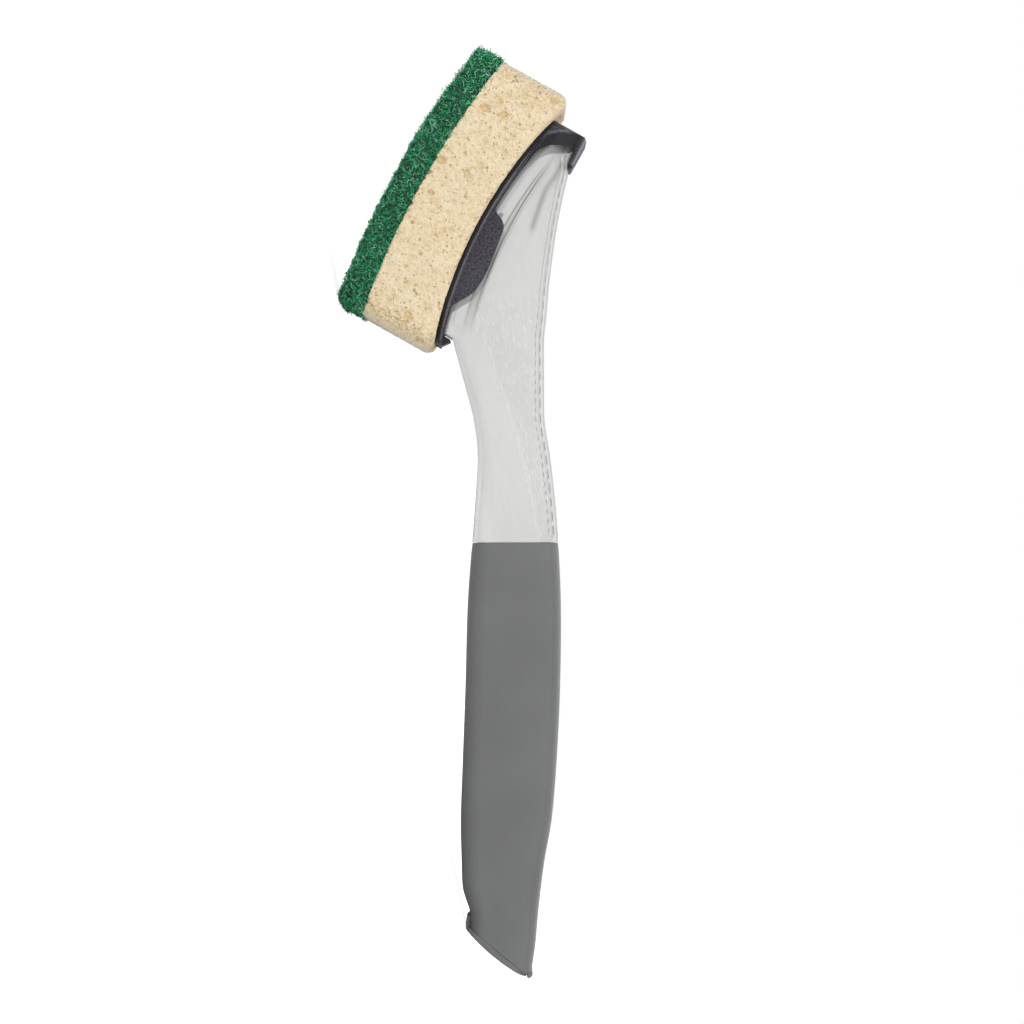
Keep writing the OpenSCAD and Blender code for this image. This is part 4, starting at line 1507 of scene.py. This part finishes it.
@dataclass
class BackingPlate:
    """The charcoal plate with its toe pocket, hook and wings, and the heel latch."""

    places: Places
    finishes: Finishes
    edge: float = 0.45
    latch_edge: float = 0.25
    grain: float = 0.9
    splits: int = 7
    back_h: float = 25.9
    bend_r: float = 141.0
    rim_h: float = 1.25
    # strengths of the painted highlights, the painted shade in the pocket and the painted light on the hook's
    # face
    rim_tone: float = 0.3
    crest_tone: float = 0.32
    pocket_tone: float = 0.9
    hook_tone: float = 0.7
    toe_top: float = 44.0
    ridge: Path = ((22.5, -49.8), (25.8, -54.3), (28.8, -58.5), (31.9, -61.2), (34.8, -61.9), (38.1, -62.2),
                   (41.1, -62.1), (43.5, -61.5))
    hook_face: Path = ((-60.0, 44.0), (-52.3, 40.1))

    def build(self) -> list[Piece]:
        """Build the plate and the latch.

        Returns:
            Its pieces.
        """
        out = []
        for node, name, body, width in (("backing_plate", "charcoal_plate", "refill", self.edge),
                                        ("heel_latch", "charcoal_latch", "latch", self.latch_edge)):
            piece = copied_node(node, name, self.finishes.plate)
            # the rounded edges take the darker, smoother edge material: painted shade along them
            piece.data.materials.append(self.finishes.plate_edge)
            bevelled(piece, width, 22, slot=1)
            self._refine(piece)
            self._mark(piece)
            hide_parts(node)
            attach(piece, body)
            out.append(piece)
        return out

    def _refine(self, piece: Piece) -> None:
        """Split the long edges of the faces on each side, so that they can carry the painted light and shade.

        Args:
            piece: the plate or the latch.
        """
        work = bmesh.new()
        work.from_mesh(piece.data)
        bmesh.ops.triangulate(work, faces=work.faces)
        for _ in range(self.splits):
            long = [e for e in work.edges if e.calc_length() > self.grain * MM
                    and any(abs(f.normal.y) > 0.6 for f in e.link_faces)]
            if not long:
                break
            bmesh.ops.subdivide_edges(work, edges=long, cuts=1)
            bmesh.ops.triangulate(work, faces=work.faces)
        work.to_mesh(piece.data)
        work.free()
        smooth_shading(piece, 40)

    def _mark(self, piece: Piece) -> None:
        """Store the painted light and shade: painted shade on the edge by the sponge and in the toe's pocket,
        painted highlights along the rim's top edge and on the toe's ridge, and painted light on the hook's
        face.

        Args:
            piece: the plate or the latch.
        """
        points = vertex_values(piece)
        flat, head = self.places.to_refill(points), self.places.to_handle(points)
        up = flat[:, 2] - self.back_h - self.bend_r + np.sqrt(self.bend_r ** 2 - flat[:, 0] ** 2)
        x, z = head[:, 0], head[:, 2]
        bend = np.interp(z, *np.array(self.ridge).T)
        toe = (z > self.ridge[0][0]) & (z < self.toe_top)
        # painted shade in the toe's pocket, painted highlights on the toe's ridge and the rim's top edge
        below = np.clip((x - bend - 0.1) / 0.35, 0, 1) * toe
        crest = np.exp(-((x - bend + 0.15) / 0.4) ** 2) * toe
        rim = np.exp(-((up - self.rim_h - 0.35) / 0.28) ** 2) * ~toe
        tone = self.crest_tone * crest - self.pocket_tone * below + self.rim_tone * rim
        # painted shade on the plate's edge face next to the sponge
        tone = np.where(up < self.rim_h, -np.clip((self.rim_h + 0.1 - up) / 0.3, 0, 1), tone)
        # painted light on the hook's face
        pale = np.exp(-(run_distance(x, z, self.hook_face) / 0.95) ** 2)
        sideways = np.clip((np.abs(vertex_values(piece, "normal")[:, 1]) - 0.2) / 0.2, 0, 1)
        set_attribute(piece, "tone", (tone * (1 - pale) + self.hook_tone * pale) * sideways)


# ----------------------------------------------------------------------------------------------- studio


@dataclass
class Studio:
    """Pale floor, soft lamps and the camera in profile."""

    width: float = 0.3205
    lens: float = 150.0
    sensor: float = 36.0
    centre: Pair = (-0.000606, 0.039737)
    floor_half: float = 6.0
    lamp_size: float = 0.8
    lamp_aim: tuple[float, float, float] = (0, 0, 0.04)

    def build(self) -> None:
        """Make the floor, the world, the lamps and the camera."""
        self._floor()
        self._world()
        for name, place, power in (("key", (-0.45, -1.0, 0.75), 8.6), ("fill", (0.9, -0.8, 0.4), 2.4),
                                   ("top", (0.35, 0.25, 1.15), 5.4)):
            self._lamp(name, Vector(place), power)
        self._camera()

    def _floor(self) -> None:
        """Make the worktop, which keeps the shadow and shows white."""
        shade = Shade("pale_worktop")
        tint = shade.node("ShaderNodeTexNoise", Scale=3.0).outputs["Fac"]
        away = shade.node("ShaderNodeVectorMath", operation="LENGTH", Vector=shade.place()).outputs["Value"]
        reach = shade.span(away, From_Min=0.25, From_Max=1.8, To_Min=0.82, To_Max=0.84)
        shade.paint(Base_Color=shade.span(tint, To_Min=0.955, To_Max=0.965), Roughness=0.9,
                    Specular_IOR_Level=0.1, Emission_Color=(1, 1, 1, 1),
                    Emission_Strength=shade.calc("MULTIPLY", shade.ray("Camera", "Transmission"), reach))
        half = self.floor_half
        floor = make_object("worktop", [(-half, -half, 0), (half, -half, 0), (half, half, 0), (-half, half, 0)],
                            [(0, 1, 2, 3)], shade.material)

    @staticmethod
    def _world() -> None:
        """Light the object evenly and show white behind it."""
        world = bpy.data.worlds.new("studio")
        bpy.context.scene.world = world
        world.use_nodes = True
        wire = Wiring(world.node_tree)
        background = world.node_tree.nodes["Background"].inputs
        wire.feed(background["Color"], (1, 1, 1, 1))
        wire.feed(background["Strength"], wire.span(wire.ray("Camera", "Glossy", "Transmission"), To_Min=0.28))

    def _lamp(self, name: str, place: Vector, power: float) -> None:
        """Make a square soft lamp aimed at the wand.

        Args:
            name: the lamp's name.
            place: where it hangs.
            power: its power in watts.
        """
        light = bpy.data.lights.new(name, "AREA")
        light.size, light.energy = self.lamp_size, power
        lamp = linked(name, light)
        lamp.location = place
        lamp.rotation_euler = (Vector(self.lamp_aim) - place).to_track_quat("-Z", "Y").to_euler()

    def _camera(self) -> None:
        """Make the camera: it looks along +Y, with the head at the top of the picture."""
        data = bpy.data.cameras.new("profile_camera")
        data.lens, data.sensor_width = self.lens, self.sensor
        data.clip_start, data.clip_end = 0.01, 50.0
        camera = linked("profile_camera", data)
        distance = self.width * self.lens / self.sensor
        c, s = math.cos(REST_TILT), math.sin(REST_TILT)
        turn = Matrix(((s, -c, 0), (0, 0, -1), (c, s, 0))).to_4x4()
        camera.matrix_world = Matrix.Translation((self.centre[0], -distance, self.centre[1])) @ turn
        bpy.context.scene.camera = camera
        bpy.context.scene.view_settings.view_transform = "Standard"


# ------------------------------------------------------------------------------------------------- main


def main() -> None:
    """Build the studio and the wand's sub-assemblies in order."""
    logging.basicConfig(level=logging.INFO, format="%(message)s")
    Studio().build()
    places = Places(joint_place("lid_flip"), joint_place("refill_swing"))
    finishes = Finishes()
    form = HandleForm(places)
    for part in (Vessel(form, finishes), Grip(form, finishes), BackingPlate(places, finishes),
                 PorousSponge(places, finishes), ScouringPad(places, finishes)):
        for piece in part.build():
            mesh = piece.data
            LOG.info("%s: %d points, %d faces", piece.name, len(mesh.vertices), len(mesh.polygons))


if __name__ == "__main__":
    main()
